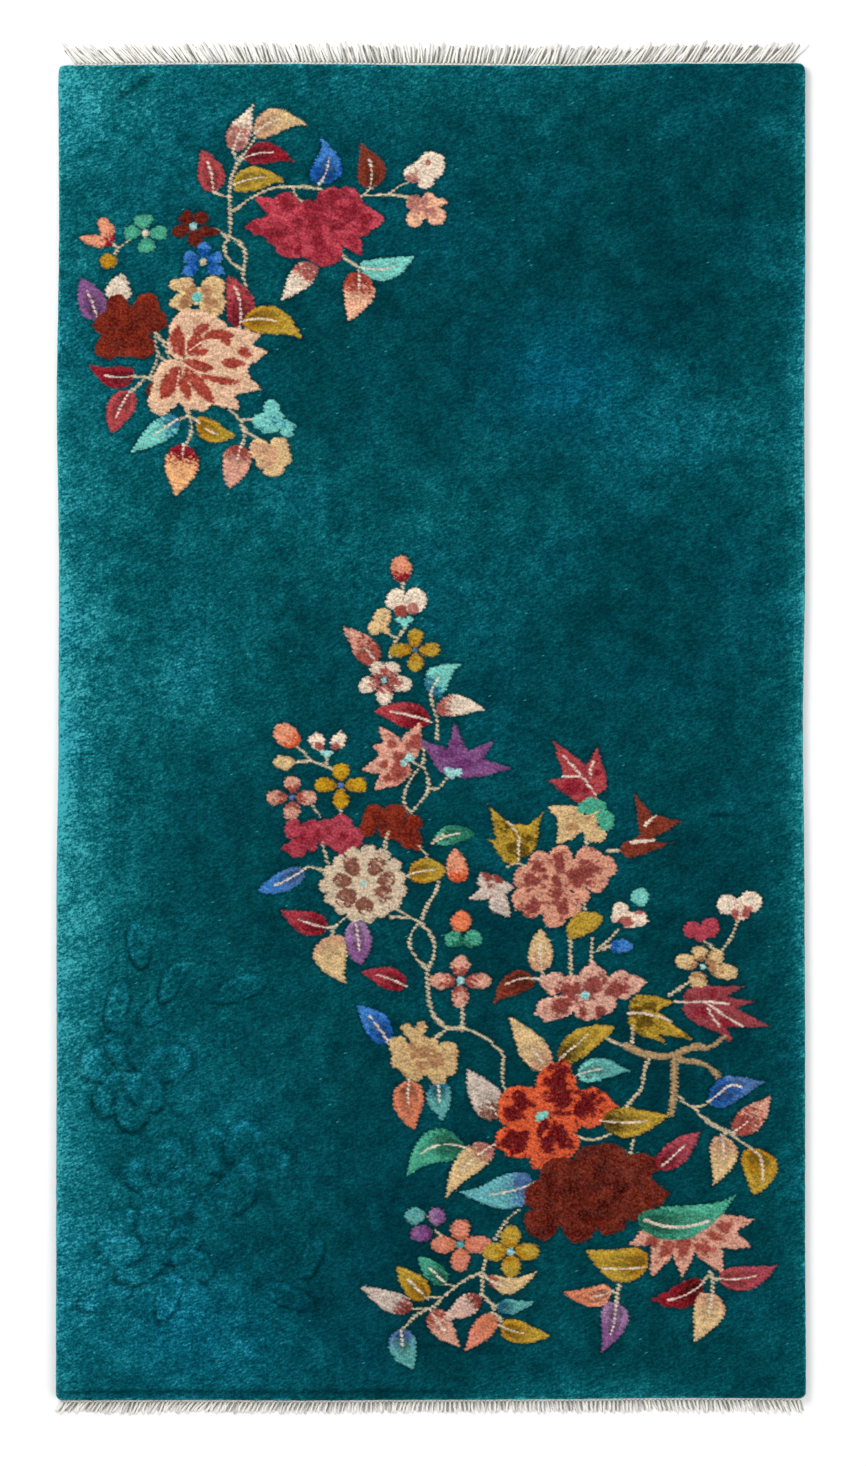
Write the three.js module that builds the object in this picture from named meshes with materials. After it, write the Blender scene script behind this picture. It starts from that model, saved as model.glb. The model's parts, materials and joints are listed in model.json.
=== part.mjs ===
// Chinese art deco rug: one thick hand-knotted wool rug, lying flat, with a cotton fringe at each end.
// Millimetres, +Z up. The origin is on the floor under the middle of the rug, fringes included.
// +Y runs to the top end, +X to the right-hand side.

import * as THREE from "three";

// ---------------------------------------------------------------- driving dimensions

const RUG_WIDTH = 748; // across the pile, edge to edge
const RUG_LENGTH = 1336; // along the pile, end to end
const PILE_TOP = 12; // the sheared face above the floor
const CORNER_RADIUS = 9;
const FRINGE_TOP_REACH = 21; // how far the fringe stands out past the pile at each end
const FRINGE_BOTTOM_REACH = 14;

// The design is placed on the weaver's cartoon, a sheet a little larger than the rug, in millimetres:
// u runs to the right and v runs down from the cartoon's top left corner.
const CARTOON_MIDDLE = { u: 431, v: 728.5 };

const RELIEF_HEIGHT = 1.6; // how high a carved flower or leaf stands above the ground pile
const ROLL_UNEVENNESS = 0.35; // slow rise and fall of the sheared face

const FINE_STEP = 11.5; // spacing of the face's points over the self-coloured carved spray
const PLAIN_STEP = 20; // and over the rest

const STRAND_COUNT = 144; // at each end
const STRAND_WIDTH = 2.4;
const STRAND_HEIGHT = 1.9;
const TIP_SHARE = 0.55; // a strand's tip against its middle
const ROOT_RISE = 0.9; // and its ridge where it leaves the strip
const SHORTEST_COSINE = 0.75; // past this lean a strand is no longer made longer to reach as far out
const END_STRIP_WIDTH = 3.2; // flat-woven cotton that holds the strands
const END_STRIP_HEIGHT = 2;
const STRIP_GAP = 0.3; // between the strip and the end of the rug's foundation, under the pile's overhang
const TOP_SIDE_INSET = 13; // from the rug's corner to the end strip, whose outer strands lean outward
const BOTTOM_SIDE_INSET = 8;

// The section through an edge, from the floor up: how far the pile's side stands in from the outline.
const FOUNDATION_INSET = 1.1;
const EDGE_SECTION = [
  { height: 0, inset: FOUNDATION_INSET },
  { height: 3, inset: FOUNDATION_INSET },
  { height: 7.5, inset: 0 },
  { height: 10.6, inset: 1.3 },
];
const TOP_RIM_INSET = 4.4; // where the rounded edge meets the level face
const TOP_RIM_HEIGHT = 11.8;

// How far each edge wanders out of a straight line, at even steps along it, outward positive.
const EDGE_WANDER = {
  right: [0.4, 0.6, -0.4, 0.3, -1.8, -0.2, 0.5, 0.4, 1.2],
  top: [-1, 0.2, 0.4, -0.6, -1.4, 0.8, 1.2],
  left: [-1.2, -1.8, 0.4, -1.6, -1.2, 0.8, 0.6, 1.1, 1.4],
  bottom: [0.8, 0.4, 1, 0.2, -0.4, -1.6, -1.2],
};

// The self-coloured spray, carved without a change of colour in the lower left.
const CARVED_SPRAY = [
  { u: 116, v: 1064, long: 31, wide: 20, turn: 172 },
  { u: 124, v: 1044, long: 24, wide: 17, turn: 120 },
  { u: 152, v: 1042, long: 26, wide: 18, turn: 62 },
  { u: 168, v: 1062, long: 24, wide: 17, turn: 10 },
  { u: 116, v: 1092, long: 24, wide: 17, turn: 220 },
  { u: 134, v: 1106, long: 24, wide: 16, turn: 262 },
  { u: 146, v: 1090, long: 22, wide: 16, turn: 310 },
  { u: 118, v: 1004, long: 24, wide: 10, turn: 75 },
  { u: 159, v: 1009, long: 22, wide: 10, turn: 40 },
  { u: 174, v: 980, long: 22, wide: 9, turn: 60 },
  { u: 139, v: 944, long: 23, wide: 10, turn: 100 },
  { u: 240, v: 988, long: 25, wide: 11, turn: 20 },
  { u: 152, v: 1180, long: 30, wide: 17, turn: 150 },
  { u: 168, v: 1162, long: 25, wide: 16, turn: 80 },
  { u: 186, v: 1182, long: 25, wide: 15, turn: 20 },
  { u: 166, v: 1200, long: 31, wide: 14, turn: 0 },
  { u: 214, v: 1148, long: 25, wide: 17, turn: 120 },
  { u: 246, v: 1142, long: 25, wide: 17, turn: 65 },
  { u: 266, v: 1162, long: 25, wide: 16, turn: 15 },
  { u: 240, v: 1186, long: 27, wide: 18, turn: 250 },
  { u: 216, v: 1204, long: 23, wide: 14, turn: 215 },
  { u: 120, v: 1222, long: 19, wide: 11, turn: 30 },
  { u: 154, v: 1224, long: 23, wide: 16, turn: 95 },
  { u: 180, v: 1244, long: 23, wide: 16, turn: 35 },
  { u: 192, v: 1262, long: 22, wide: 14, turn: 330 },
  { u: 144, v: 1262, long: 25, wide: 16, turn: 215 },
  { u: 122, v: 1248, long: 22, wide: 14, turn: 170 },
  { u: 170, v: 1296, long: 25, wide: 10, turn: 250 },
  { u: 106, v: 1298, long: 24, wide: 10, turn: 200 },
  { u: 286, v: 1294, long: 26, wide: 10, turn: 340 },
  { u: 312, v: 1256, long: 20, wide: 9, turn: 70 },
];

// The main flowers and larger leaves of the coloured sprays, which the carver's shears leave proud.
const COLOURED_FORMS = [
  { u: 316, v: 226, long: 62, wide: 38, turn: 0 },
  { u: 205, v: 362, long: 55, wide: 48, turn: 50 },
  { u: 128, v: 329, long: 36, wide: 32, turn: 0 },
  { u: 196, v: 297, long: 26, wide: 19, turn: 0 },
  { u: 192, v: 227, long: 24, wide: 20, turn: 0 },
  { u: 270, v: 457, long: 22, wide: 19, turn: 0 },
  { u: 176, v: 472, long: 25, wide: 16, turn: 260 },
  { u: 272, v: 320, long: 30, wide: 14, turn: 350 },
  { u: 354, v: 298, long: 26, wide: 15, turn: 260 },
  { u: 424, v: 170, long: 20, wide: 19, turn: 0 },
  { u: 425, v: 209, long: 19, wide: 17, turn: 0 },
  { u: 277, v: 123, long: 28, wide: 14, turn: 15 },
  { u: 405, v: 602, long: 22, wide: 16, turn: 0 },
  { u: 384, v: 680, long: 24, wide: 21, turn: 0 },
  { u: 400, v: 752, long: 34, wide: 26, turn: 60 },
  { u: 462, v: 754, long: 38, wide: 24, turn: 10 },
  { u: 341, v: 785, long: 25, wide: 25, turn: 0 },
  { u: 292, v: 797, long: 24, wide: 23, turn: 0 },
  { u: 322, v: 835, long: 38, wide: 20, turn: 0 },
  { u: 390, v: 827, long: 30, wide: 24, turn: 340 },
  { u: 364, v: 884, long: 42, wide: 42, turn: 0 },
  { u: 580, v: 768, long: 34, wide: 25, turn: 60 },
  { u: 583, v: 820, long: 31, wide: 20, turn: 0 },
  { u: 516, v: 832, long: 30, wide: 26, turn: 50 },
  { u: 656, v: 826, long: 33, wide: 25, turn: 45 },
  { u: 560, v: 888, long: 52, wide: 40, turn: 15 },
  { u: 592, v: 995, long: 52, wide: 29, turn: 15 },
  { u: 460, v: 979, long: 25, wide: 24, turn: 0 },
  { u: 703, v: 967, long: 25, wide: 20, turn: 0 },
  { u: 662, v: 1018, long: 34, wide: 22, turn: 340 },
  { u: 728, v: 1012, long: 45, wide: 24, turn: 350 },
  { u: 422, v: 1054, long: 34, wide: 30, turn: 0 },
  { u: 552, v: 1116, long: 58, wide: 52, turn: 0 },
  { u: 594, v: 1194, long: 74, wide: 48, turn: 0 },
  { u: 690, v: 1222, long: 48, wide: 17, turn: 10 },
  { u: 692, v: 1252, long: 55, wide: 24, turn: 0 },
  { u: 433, v: 1146, long: 30, wide: 17, turn: 20 },
  { u: 466, v: 1168, long: 31, wide: 15, turn: 45 },
  { u: 493, v: 1192, long: 38, wide: 16, turn: 10 },
  { u: 615, v: 1264, long: 32, wide: 14, turn: 10 },
  { u: 461, v: 1245, long: 25, wide: 25, turn: 0 },
  { u: 511, v: 1252, long: 25, wide: 23, turn: 0 },
];

// Pressed lines in the pile: a fold by the top left corner, a crack at the right, and the rolled bottom end.
const CREASES = [
  { fromU: 118, fromV: 98, toU: 148, toV: 70, depth: 1, width: 9 },
  { fromU: 712, fromV: 816, toU: 764, toV: 814, depth: 0.9, width: 9 },
  { fromU: 60, fromV: 1390, toU: 450, toV: 1391, depth: 1, width: 8 },
];

// How the fringe lies, from the left corner to the right one: its lean towards +X in degrees, its length
// as a share of the end's reach, and how far a strand may turn from its neighbours.
const TOP_LIE = [
  { at: 0, lean: -50, share: 0.86, stray: 3 },
  { at: 0.12, lean: -42, share: 0.9, stray: 3 },
  { at: 0.3, lean: -22, share: 0.94, stray: 4 },
  { at: 0.46, lean: 0, share: 0.86, stray: 5 },
  { at: 0.6, lean: 24, share: 0.92, stray: 4 },
  { at: 0.8, lean: 42, share: 0.92, stray: 3 },
  { at: 1, lean: 50, share: 0.88, stray: 3 },
];
const BOTTOM_LIE = [
  { at: 0, lean: -38, share: 0.9, stray: 5 },
  { at: 0.2, lean: -24, share: 0.92, stray: 7 },
  { at: 0.45, lean: 2, share: 0.9, stray: 8 },
  { at: 0.7, lean: 18, share: 0.94, stray: 7 },
  { at: 1, lean: 34, share: 0.86, stray: 5 },
];

// ---------------------------------------------------------------- places and outlines

const BODY_MIDDLE_Y = (FRINGE_BOTTOM_REACH - FRINGE_TOP_REACH) / 2;
const HALF_WIDTH = RUG_WIDTH / 2;
const HALF_LENGTH = RUG_LENGTH / 2;
const DEG = Math.PI / 180;

const onRug = (u, v) => new THREE.Vector2(u - CARTOON_MIDDLE.u, CARTOON_MIDDLE.v - v);

// A value between evenly spaced entries, eased so that it has no corners.
function eased(entries, share) {
  const along = THREE.MathUtils.clamp(share, 0, 1) * (entries.length - 1);
  const first = Math.min(Math.floor(along), entries.length - 2);
  const blend = THREE.MathUtils.smoothstep(along - first, 0, 1);
  return THREE.MathUtils.lerp(entries[first], entries[first + 1], blend);
}

// The edges' wander at a place given as shares of the rug's width and length.
const wanderLeft = (down) => eased(EDGE_WANDER.left, down);
const wanderRight = (down) => eased(EDGE_WANDER.right, down);
const wanderTop = (across) => eased(EDGE_WANDER.top, across);
const wanderBottom = (across) => eased(EDGE_WANDER.bottom, across);

// A point of the true outline for a point of the plain rectangle: each side's wander fades across the rug.
function wandered(x, y) {
  const across = (x + HALF_WIDTH) / RUG_WIDTH;
  const down = (HALF_LENGTH - y) / RUG_LENGTH;
  const shiftX = wanderRight(down) * across - wanderLeft(down) * (1 - across);
  const shiftY = wanderTop(across) * (1 - down) - wanderBottom(across) * down;
  return new THREE.Vector2(x + shiftX, y + shiftY + BODY_MIDDLE_Y);
}

// ---------------------------------------------------------------- the sheared face

// A carved form: a low dome with a trough round it, in its own turned axes.
function carvedForm(form, x, y) {
  const middle = onRug(form.u, form.v);
  const turn = form.turn * DEG;
  const dx = x - middle.x;
  const dy = y - middle.y;
  const alongShare = (dx * Math.cos(turn) + dy * Math.sin(turn)) / form.long;
  const acrossShare = (dy * Math.cos(turn) - dx * Math.sin(turn)) / form.wide;
  const reach = Math.hypot(alongShare, acrossShare);
  const dome = 1 - THREE.MathUtils.smoothstep(reach, 0.45, 1.15);
  const trough = Math.exp(-(((reach - 1.3) / 0.2) ** 2));
  return { dome, trough };
}

function carvedHeight(x, y) {
  let dome = 0;
  let trough = 0;
  for (const form of [...CARVED_SPRAY, ...COLOURED_FORMS]) {
    const part = carvedForm(form, x, y);
    dome = Math.max(dome, part.dome);
    trough = Math.max(trough, part.trough);
  }
  return RELIEF_HEIGHT * (dome - 0.45 * trough * (1 - dome));
}

function creaseDepth(x, y) {
  let depth = 0;
  for (const crease of CREASES) {
    const from = onRug(crease.fromU, crease.fromV);
    const to = onRug(crease.toU, crease.toV);
    const line = new THREE.Line3(new THREE.Vector3(from.x, from.y, 0), new THREE.Vector3(to.x, to.y, 0));
    const here = new THREE.Vector3(x, y, 0);
    const near = line.closestPointToPoint(here, true, new THREE.Vector3());
    depth += crease.depth * Math.exp(-((near.distanceTo(here) / crease.width) ** 2));
  }
  return depth;
}

// The height of the pile's face, level at the rim so that it meets the rounded edge.
function faceHeight(x, y, edgeFade) {
  const swell = Math.sin(x / 61 + 0.7) * Math.cos(y / 83) + 0.6 * Math.sin((x + y) / 47);
  const form = ROLL_UNEVENNESS * swell + carvedHeight(x, y) - creaseDepth(x, y);
  return PILE_TOP - RELIEF_HEIGHT / 2 + edgeFade * form;
}

// ---------------------------------------------------------------- the rug body

// Grid lines from one side to the other: close together between two places, wider elsewhere.
function gridLines(low, high, fineLow, fineHigh) {
  const spans = [
    { from: low, to: fineLow, step: PLAIN_STEP },
    { from: fineLow, to: fineHigh, step: FINE_STEP },
    { from: fineHigh, to: high, step: PLAIN_STEP },
  ];
  const lines = [low];
  for (const span of spans) {
    const count = Math.max(1, Math.round((span.to - span.from) / span.step));
    for (let k = 1; k <= count; k++) lines.push(THREE.MathUtils.lerp(span.from, span.to, k / count));
  }
  return lines;
}

// Moves a rectangle's corner region onto a round corner.
function roundedCorner(x, y, halfWidth, halfLength, radius) {
  const overX = Math.abs(x) - (halfWidth - radius);
  const overY = Math.abs(y) - (halfLength - radius);
  if (overX <= 0 || overY <= 0) return new THREE.Vector2(x, y);
  const square = Math.max(overX, overY);
  const reach = Math.hypot(overX, overY);
  const scale = square / reach;
  const roundX = halfWidth - radius + overX * scale;
  const roundY = halfLength - radius + overY * scale;
  return new THREE.Vector2(Math.sign(x) * roundX, Math.sign(y) * roundY);
}

function makeBody() {
  const rimWidth = HALF_WIDTH - TOP_RIM_INSET;
  const rimLength = HALF_LENGTH - TOP_RIM_INSET;
  const sprayLow = onRug(84, 1318);
  const sprayHigh = onRug(300, 934);
  const xs = gridLines(-rimWidth, rimWidth, sprayLow.x, sprayHigh.x);
  const ys = gridLines(-rimLength, rimLength, sprayLow.y, sprayHigh.y);
  const positions = [];
  const triangles = [];
  const addPoint = (point, z) => positions.push(point.x, point.y, z) / 3 - 1;

  const face = ys.map((y) =>
    xs.map((x) => {
      const place = roundedCorner(x, y, rimWidth, rimLength, CORNER_RADIUS - TOP_RIM_INSET);
      const toEdge = Math.min(rimWidth - Math.abs(x), rimLength - Math.abs(y));
      const edgeFade = THREE.MathUtils.smoothstep(toEdge, 0, 2 * PLAIN_STEP);
      const z = toEdge < 1e-6 ? TOP_RIM_HEIGHT - RELIEF_HEIGHT / 2 : faceHeight(x, y, edgeFade);
      return addPoint(wandered(place.x, place.y), z);
    }),
  );
  for (let j = 0; j < ys.length - 1; j++) {
    for (let i = 0; i < xs.length - 1; i++) {
      const [a, b, c, d] = [face[j][i], face[j][i + 1], face[j + 1][i + 1], face[j + 1][i]];
      if ((i + j) % 2) triangles.push(a, b, c, a, c, d);
      else triangles.push(a, b, d, b, c, d);
    }
  }

  // The rim, anticlockwise from the lower left corner, as plain places on the rectangle.
  const rim = [];
  const lastI = xs.length - 1;
  const lastJ = ys.length - 1;
  for (let i = 0; i < lastI; i++) rim.push({ x: xs[i], y: ys[0], id: face[0][i] });
  for (let j = 0; j < lastJ; j++) rim.push({ x: xs[lastI], y: ys[j], id: face[j][lastI] });
  for (let i = lastI; i > 0; i--) rim.push({ x: xs[i], y: ys[lastJ], id: face[lastJ][i] });
  for (let j = lastJ; j > 0; j--) rim.push({ x: xs[0], y: ys[j], id: face[j][0] });

  // Each ring of the edge's section, from the highest down, joined to the ring above.
  let above = rim.map((place) => place.id);
  for (const ring of [...EDGE_SECTION].reverse()) {
    const halfWidth = HALF_WIDTH - ring.inset;
    const halfLength = HALF_LENGTH - ring.inset;
    const ids = rim.map((place) => {
      const x = (place.x / rimWidth) * halfWidth;
      const y = (place.y / rimLength) * halfLength;
      const round = roundedCorner(x, y, halfWidth, halfLength, CORNER_RADIUS - ring.inset);
      return addPoint(wandered(round.x, round.y), ring.height);
    });
    for (let k = 0; k < rim.length; k++) {
      const next = (k + 1) % rim.length;
      triangles.push(above[k], ids[k], ids[next], above[k], ids[next], above[next]);
    }
    above = ids;
  }

  // The woven back, a fan of triangles flat on the floor.
  const middle = addPoint(new THREE.Vector2(0, BODY_MIDDLE_Y), 0);
  for (let k = 0; k < rim.length; k++) {
    triangles.push(middle, above[(k + 1) % rim.length], above[k]);
  }
  const geometry = new THREE.BufferGeometry();
  geometry.setAttribute("position", new THREE.Float32BufferAttribute(positions, 3));
  geometry.setIndex(triangles);
  return geometry;
}

// ---------------------------------------------------------------- the fringes

// A repeatable number from -1 to 1 for each strand.
function stray(index, salt) {
  const wave = Math.sin(index * 12.9898 + salt * 78.233) * 43758.5453;
  return 2 * (wave - Math.floor(wave)) - 1;
}

// The row of a lie table at a share of the width, between its neighbours.
function lieAt(table, share) {
  const after = Math.max(1, table.findIndex((row) => row.at >= share));
  const [low, high] = [table[after - 1], table[after]];
  const blend = (share - low.at) / (high.at - low.at);
  const mix = (name) => THREE.MathUtils.lerp(low[name], high[name], blend);
  return { lean: mix("lean"), share: mix("share"), stray: mix("stray") };
}

// An end's strip and strands, all one solid. Each strand is a three-sided tapering yarn, flat side down on
// the floor, that grows out of the strip's outer wall. outward is 1 at the top end and -1 at the bottom.
function makeFringe(outward, reach, sideInset, lies) {
  const halfStrip = HALF_WIDTH - sideInset;
  const innerY = (x) => outward * wandered(x, outward * HALF_LENGTH).y - FOUNDATION_INSET + STRIP_GAP;
  const positions = [];
  const triangles = [];
  const addPoint = (x, y, z) => positions.push(x, outward * y, z) / 3 - 1;
  const addFaces = (...faces) => faces.forEach((face) => triangles.push(...face));

  // The strip's section at a place along it: inner and outer edge, at the floor and on top.
  const section = (share) => {
    const x = THREE.MathUtils.lerp(-halfStrip, halfStrip, share);
    const [near, far] = [innerY(x), innerY(x) + END_STRIP_WIDTH];
    return {
      nearFloor: addPoint(x, near, 0),
      nearTop: addPoint(x, near, END_STRIP_HEIGHT),
      farFloor: addPoint(x, far, 0),
      farTop: addPoint(x, far, END_STRIP_HEIGHT),
    };
  };

  let left = section(0);
  addFaces([left.nearFloor, left.nearTop, left.farTop], [left.nearFloor, left.farTop, left.farFloor]);
  for (let k = 0; k < STRAND_COUNT; k++) {
    const share = (k + 0.5) / STRAND_COUNT;
    const lie = lieAt(lies, share);
    const lean = (lie.lean + lie.stray * stray(k, outward)) * DEG;
    const outReach = (reach - END_STRIP_WIDTH) * (lie.share + 0.1 * stray(k, 3 * outward));
    const length = outReach / Math.max(SHORTEST_COSINE, Math.cos(lean));

    // The root's and the tip's triangle: left, ridge and right.
    const rootX = THREE.MathUtils.lerp(-halfStrip, halfStrip, share);
    const halfRoot = STRAND_WIDTH / 2 / Math.cos(lean);
    const wallY = (x) => innerY(x) + END_STRIP_WIDTH;
    const tipX = rootX + length * Math.sin(lean);
    const tipY = wallY(rootX) + length * Math.cos(lean);
    const acrossX = (STRAND_WIDTH / 2) * TIP_SHARE * Math.cos(lean);
    const acrossY = (STRAND_WIDTH / 2) * TIP_SHARE * Math.sin(lean);
    const root = [
      addPoint(rootX - halfRoot, wallY(rootX - halfRoot), 0),
      addPoint(rootX, wallY(rootX), STRAND_HEIGHT * ROOT_RISE),
      addPoint(rootX + halfRoot, wallY(rootX + halfRoot), 0),
    ];
    const tip = [
      addPoint(tipX - acrossX, tipY + acrossY, 0),
      addPoint(tipX, tipY, STRAND_HEIGHT * TIP_SHARE),
      addPoint(tipX + acrossX, tipY - acrossY, 0),
    ];
    addFaces([tip[0], tip[1], tip[2]]);
    for (let side = 0; side < 3; side++) {
      const next = (side + 1) % 3;
      addFaces([root[side], root[next], tip[next]], [root[side], tip[next], tip[side]]);
    }

    // The strip's panel behind the strand.
    const right = section((k + 1) / STRAND_COUNT);
    addFaces(
      [left.farFloor, left.farTop, root[0]],
      [root[0], left.farTop, root[1]],
      [root[1], left.farTop, right.farTop],
      [root[1], right.farTop, root[2]],
      [root[2], right.farTop, right.farFloor],
      [left.nearTop, right.nearTop, right.farTop],
      [left.nearTop, right.farTop, left.farTop],
      [left.nearFloor, right.nearTop, left.nearTop],
      [left.nearFloor, right.nearFloor, right.nearTop],
      [left.nearFloor, left.farFloor, root[0]],
      [left.nearFloor, root[0], root[2]],
      [left.nearFloor, root[2], right.nearFloor],
      [right.nearFloor, root[2], right.farFloor],
    );
    left = right;
  }
  addFaces([left.nearFloor, left.farTop, left.nearTop], [left.nearFloor, left.farFloor, left.farTop]);

  if (outward < 0) triangles.reverse();
  const geometry = new THREE.BufferGeometry();
  geometry.setAttribute("position", new THREE.Float32BufferAttribute(positions, 3));
  geometry.setIndex(triangles);
  return geometry;
}

// ---------------------------------------------------------------- the group

function piece(name, geometry, material) {
  const mesh = new THREE.Mesh(geometry, material);
  mesh.name = name;
  return mesh;
}

const tealWool = new THREE.MeshStandardMaterial({ color: 0x03505a, roughness: 0.95, metalness: 0 });
const topCotton = new THREE.MeshStandardMaterial({ color: 0xd8d2c4, roughness: 0.9, metalness: 0 });
const bottomCotton = topCotton.clone();

const rug = new THREE.Group();
rug.add(piece("rug_body", makeBody(), tealWool));
const topFringe = makeFringe(1, FRINGE_TOP_REACH, TOP_SIDE_INSET, TOP_LIE);
const bottomFringe = makeFringe(-1, FRINGE_BOTTOM_REACH, BOTTOM_SIDE_INSET, BOTTOM_LIE);
rug.add(piece("fringe_top", topFringe, topCotton));
rug.add(piece("fringe_bottom", bottomFringe, bottomCotton));

export default rug;
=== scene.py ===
import json
import math

import bpy
import numpy as np
from bpy.props import FloatProperty, FloatVectorProperty, IntProperty, PointerProperty
from bpy.types import Operator, Panel, PropertyGroup
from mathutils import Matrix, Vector

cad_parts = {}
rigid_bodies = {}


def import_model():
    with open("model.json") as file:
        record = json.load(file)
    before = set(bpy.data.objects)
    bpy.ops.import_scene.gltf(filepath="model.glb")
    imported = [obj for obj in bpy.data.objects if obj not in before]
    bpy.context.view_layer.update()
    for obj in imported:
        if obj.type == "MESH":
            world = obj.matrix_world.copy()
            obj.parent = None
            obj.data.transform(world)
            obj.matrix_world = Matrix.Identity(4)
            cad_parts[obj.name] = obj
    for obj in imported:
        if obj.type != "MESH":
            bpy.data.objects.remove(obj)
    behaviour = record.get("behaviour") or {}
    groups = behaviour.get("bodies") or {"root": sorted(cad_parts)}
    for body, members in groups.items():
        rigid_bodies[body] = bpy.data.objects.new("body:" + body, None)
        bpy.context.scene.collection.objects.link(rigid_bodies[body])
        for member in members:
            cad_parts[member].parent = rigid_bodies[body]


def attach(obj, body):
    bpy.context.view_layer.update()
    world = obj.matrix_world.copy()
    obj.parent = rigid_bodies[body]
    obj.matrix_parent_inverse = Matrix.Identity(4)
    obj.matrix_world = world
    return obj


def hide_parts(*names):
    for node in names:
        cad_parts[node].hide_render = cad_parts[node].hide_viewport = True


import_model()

bl_info = {
    "name": "Art deco pile rug",
    "version": (1, 0, 0),
    "blender": (4, 2, 0),
    "location": "View3D > Sidebar > Rug",
    "description": "A thick teal hand-knotted wool rug with flower sprays and a cotton fringe at each end",
    "category": "Object",
}

# ---- settings


def linear(value):
    """A display level from 0 to 255 as a linear one from 0 to 1."""
    share = value / 255.0
    return share / 12.92 if share <= 0.04045 else ((share + 0.055) / 1.055) ** 2.4


def wool(key, red, green, blue):
    """A dyed wool or cotton as a colour setting, from display levels."""
    name = key.replace("_", " ")
    return FloatVectorProperty(
        name=name.capitalize(),
        description="Colour of the " + name,
        subtype="COLOR",
        size=3,
        min=0.0,
        max=1.0,
        default=(linear(red), linear(green), linear(blue)),
    )


def length(name, description, default, low, high):
    """A size setting in metres."""
    return FloatProperty(
        name=name,
        description=description,
        default=default,
        min=low,
        max=high,
        subtype="DISTANCE",
        unit="LENGTH",
    )


# Heights and thicknesses in metres, as the rug is drawn.
PILE_HIGH = 0.0112  # the pile's height in metres, as drawn


class RugSizes(PropertyGroup):
    """Sizes of the rug, in metres."""

    width: length("Pile width", "Across the pile, edge to edge", 0.748, 0.3, 3.0)
    length: length("Pile length", "Along the pile, end to end", 1.336, 0.5, 5.0)
    pile: length("Pile height", "The sheared face above the floor", PILE_HIGH, 0.006, 0.018)
    relief: length("Carved relief", "How far a flower stands above the ground pile", 0.0015, 0.0, 0.003)
    corner: length("Corner radius", "How round the rug's corners are", 0.0065, 0.005, 0.03)
    top_fringe: length("Top fringe", "How far the fringe stands out above", 0.021, 0.01, 0.12)
    bottom_fringe: length("Bottom fringe", "How far the fringe stands out below", 0.0145, 0.01, 0.12)
    strand: length("Strand thickness", "Thickness of one fringe strand", 0.0025, 0.001, 0.004)
    strands: IntProperty(name="Strands", description="Pale strands at each end", default=168, min=60, max=200)


# Each wool's dye as display levels of red, green and blue. The last ones are the ground, cotton and floor:
# the five teals are one ground wool from its most shaded to its most lit, as painted sheen and shade, and the
# cotton's shade is the darker cotton of its patches and its painted shade.
WOOLS = {
    "cream": (226, 206, 183), "stem": (206, 190, 158), "stem_shade": (168, 140, 104), "rib": (226, 206, 188),
    "dusty_rose": (171, 108, 98), "rose_spot": (166, 84, 78), "dusty_tan": (200, 152, 118),
    "tan_leaf": (210, 177, 127), "gold_tan": (168, 122, 84), "tan_flower": (199, 167, 116),
    "crimson": (138, 22, 38), "crimson_leaf": (158, 50, 62), "peony_dark": (134, 28, 44),
    "rose_red": (168, 66, 70), "peony_rose": (166, 58, 64), "peony_pink": (186, 66, 80),
    "rose_blob": (168, 62, 76), "heart_rose": (164, 66, 78), "maple_rose": (144, 62, 68),
    "mustard": (179, 144, 48), "gold": (194, 148, 22), "gold_bud": (176, 126, 24), "olive": (98, 74, 14),
    "sky_blue": (58, 120, 190), "deep_blue": (18, 84, 160), "royal_blue": (34, 88, 160),
    "slate_blue": (74, 110, 158), "sea_blue": (96, 168, 172), "river_blue": (34, 112, 138),
    "rust": (122, 50, 34), "rust_brown": (126, 39, 22), "dark_rust": (97, 25, 15), "maroon": (109, 37, 24),
    "deep_maroon": (74, 16, 10), "branch": (170, 139, 98), "peach": (226, 170, 138),
    "salmon": (224, 146, 112), "salmon_pink": (209, 152, 130), "apricot": (230, 168, 116),
    "fan_peach": (221, 180, 148), "fan_light": (232, 200, 172), "brick": (158, 62, 50),
    "brick_rose": (156, 72, 62), "peach_pink": (210, 147, 121), "pale_pink": (208, 158, 138),
    "brick_spot": (136, 62, 56), "blush": (210, 172, 156), "turquoise": (116, 196, 184),
    "pale_turquoise": (150, 202, 198), "turquoise_dull": (88, 160, 156), "jade": (70, 160, 130),
    "green": (34, 112, 88), "purple": (128, 82, 130), "plum": (104, 50, 104), "lilac": (158, 119, 161),
    "orange": (212, 88, 50), "orange_bud": (222, 118, 78), "orange_leaf": (208, 120, 86),
    "orange_peach": (210, 128, 104), "blood": (98, 12, 18), "mauve_cream": (196, 178, 164),
    "scallop_cream": (208, 186, 158), "umber": (128, 80, 66), "teal_deep": (1, 38, 45),
    "teal_dark": (3, 57, 64), "teal": (6, 77, 84), "teal_light": (19, 108, 115),
    "teal_bright": (64, 164, 168), "cotton": (252, 249, 242), "cotton_shade": (100, 97, 86),
    "floor": (250, 250, 250),
}


class RugWools(PropertyGroup):
    """The dyed wools of the design, the ground's teal at its painted levels of sheen and shade, and the
    fringe's cotton.
    """

    __annotations__ = {key: wool(key, *levels) for key, levels in WOOLS.items()}


# ---- the cartoon

# The design is laid out on a sheet in millimetres: u runs to the right and v down from its top left corner.
CARTOON_MIDDLE = (431, 728.5)  # the sheet's place that lies over the rug's own origin
PILE_LEFT = 57
PILE_TOP_V = 64
PILE_WIDE = 748
PILE_LONG = 1336
COLUMNS = 168
ROWS = 300
FINE = 4  # fine cells across one knot
KNOT = PILE_WIDE / COLUMNS
SLANT = 0.5  # how far a tuft drops, over its own reach to the right
REACH = 14  # margin painted round a form, for its carved groove


def smooth(x, low, high):
    t = np.clip((x - low) / (high - low), 0, 1)
    return t * t * (3 - 2 * t)


def blend(a, b, share):
    return a + (b - a) * share


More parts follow.
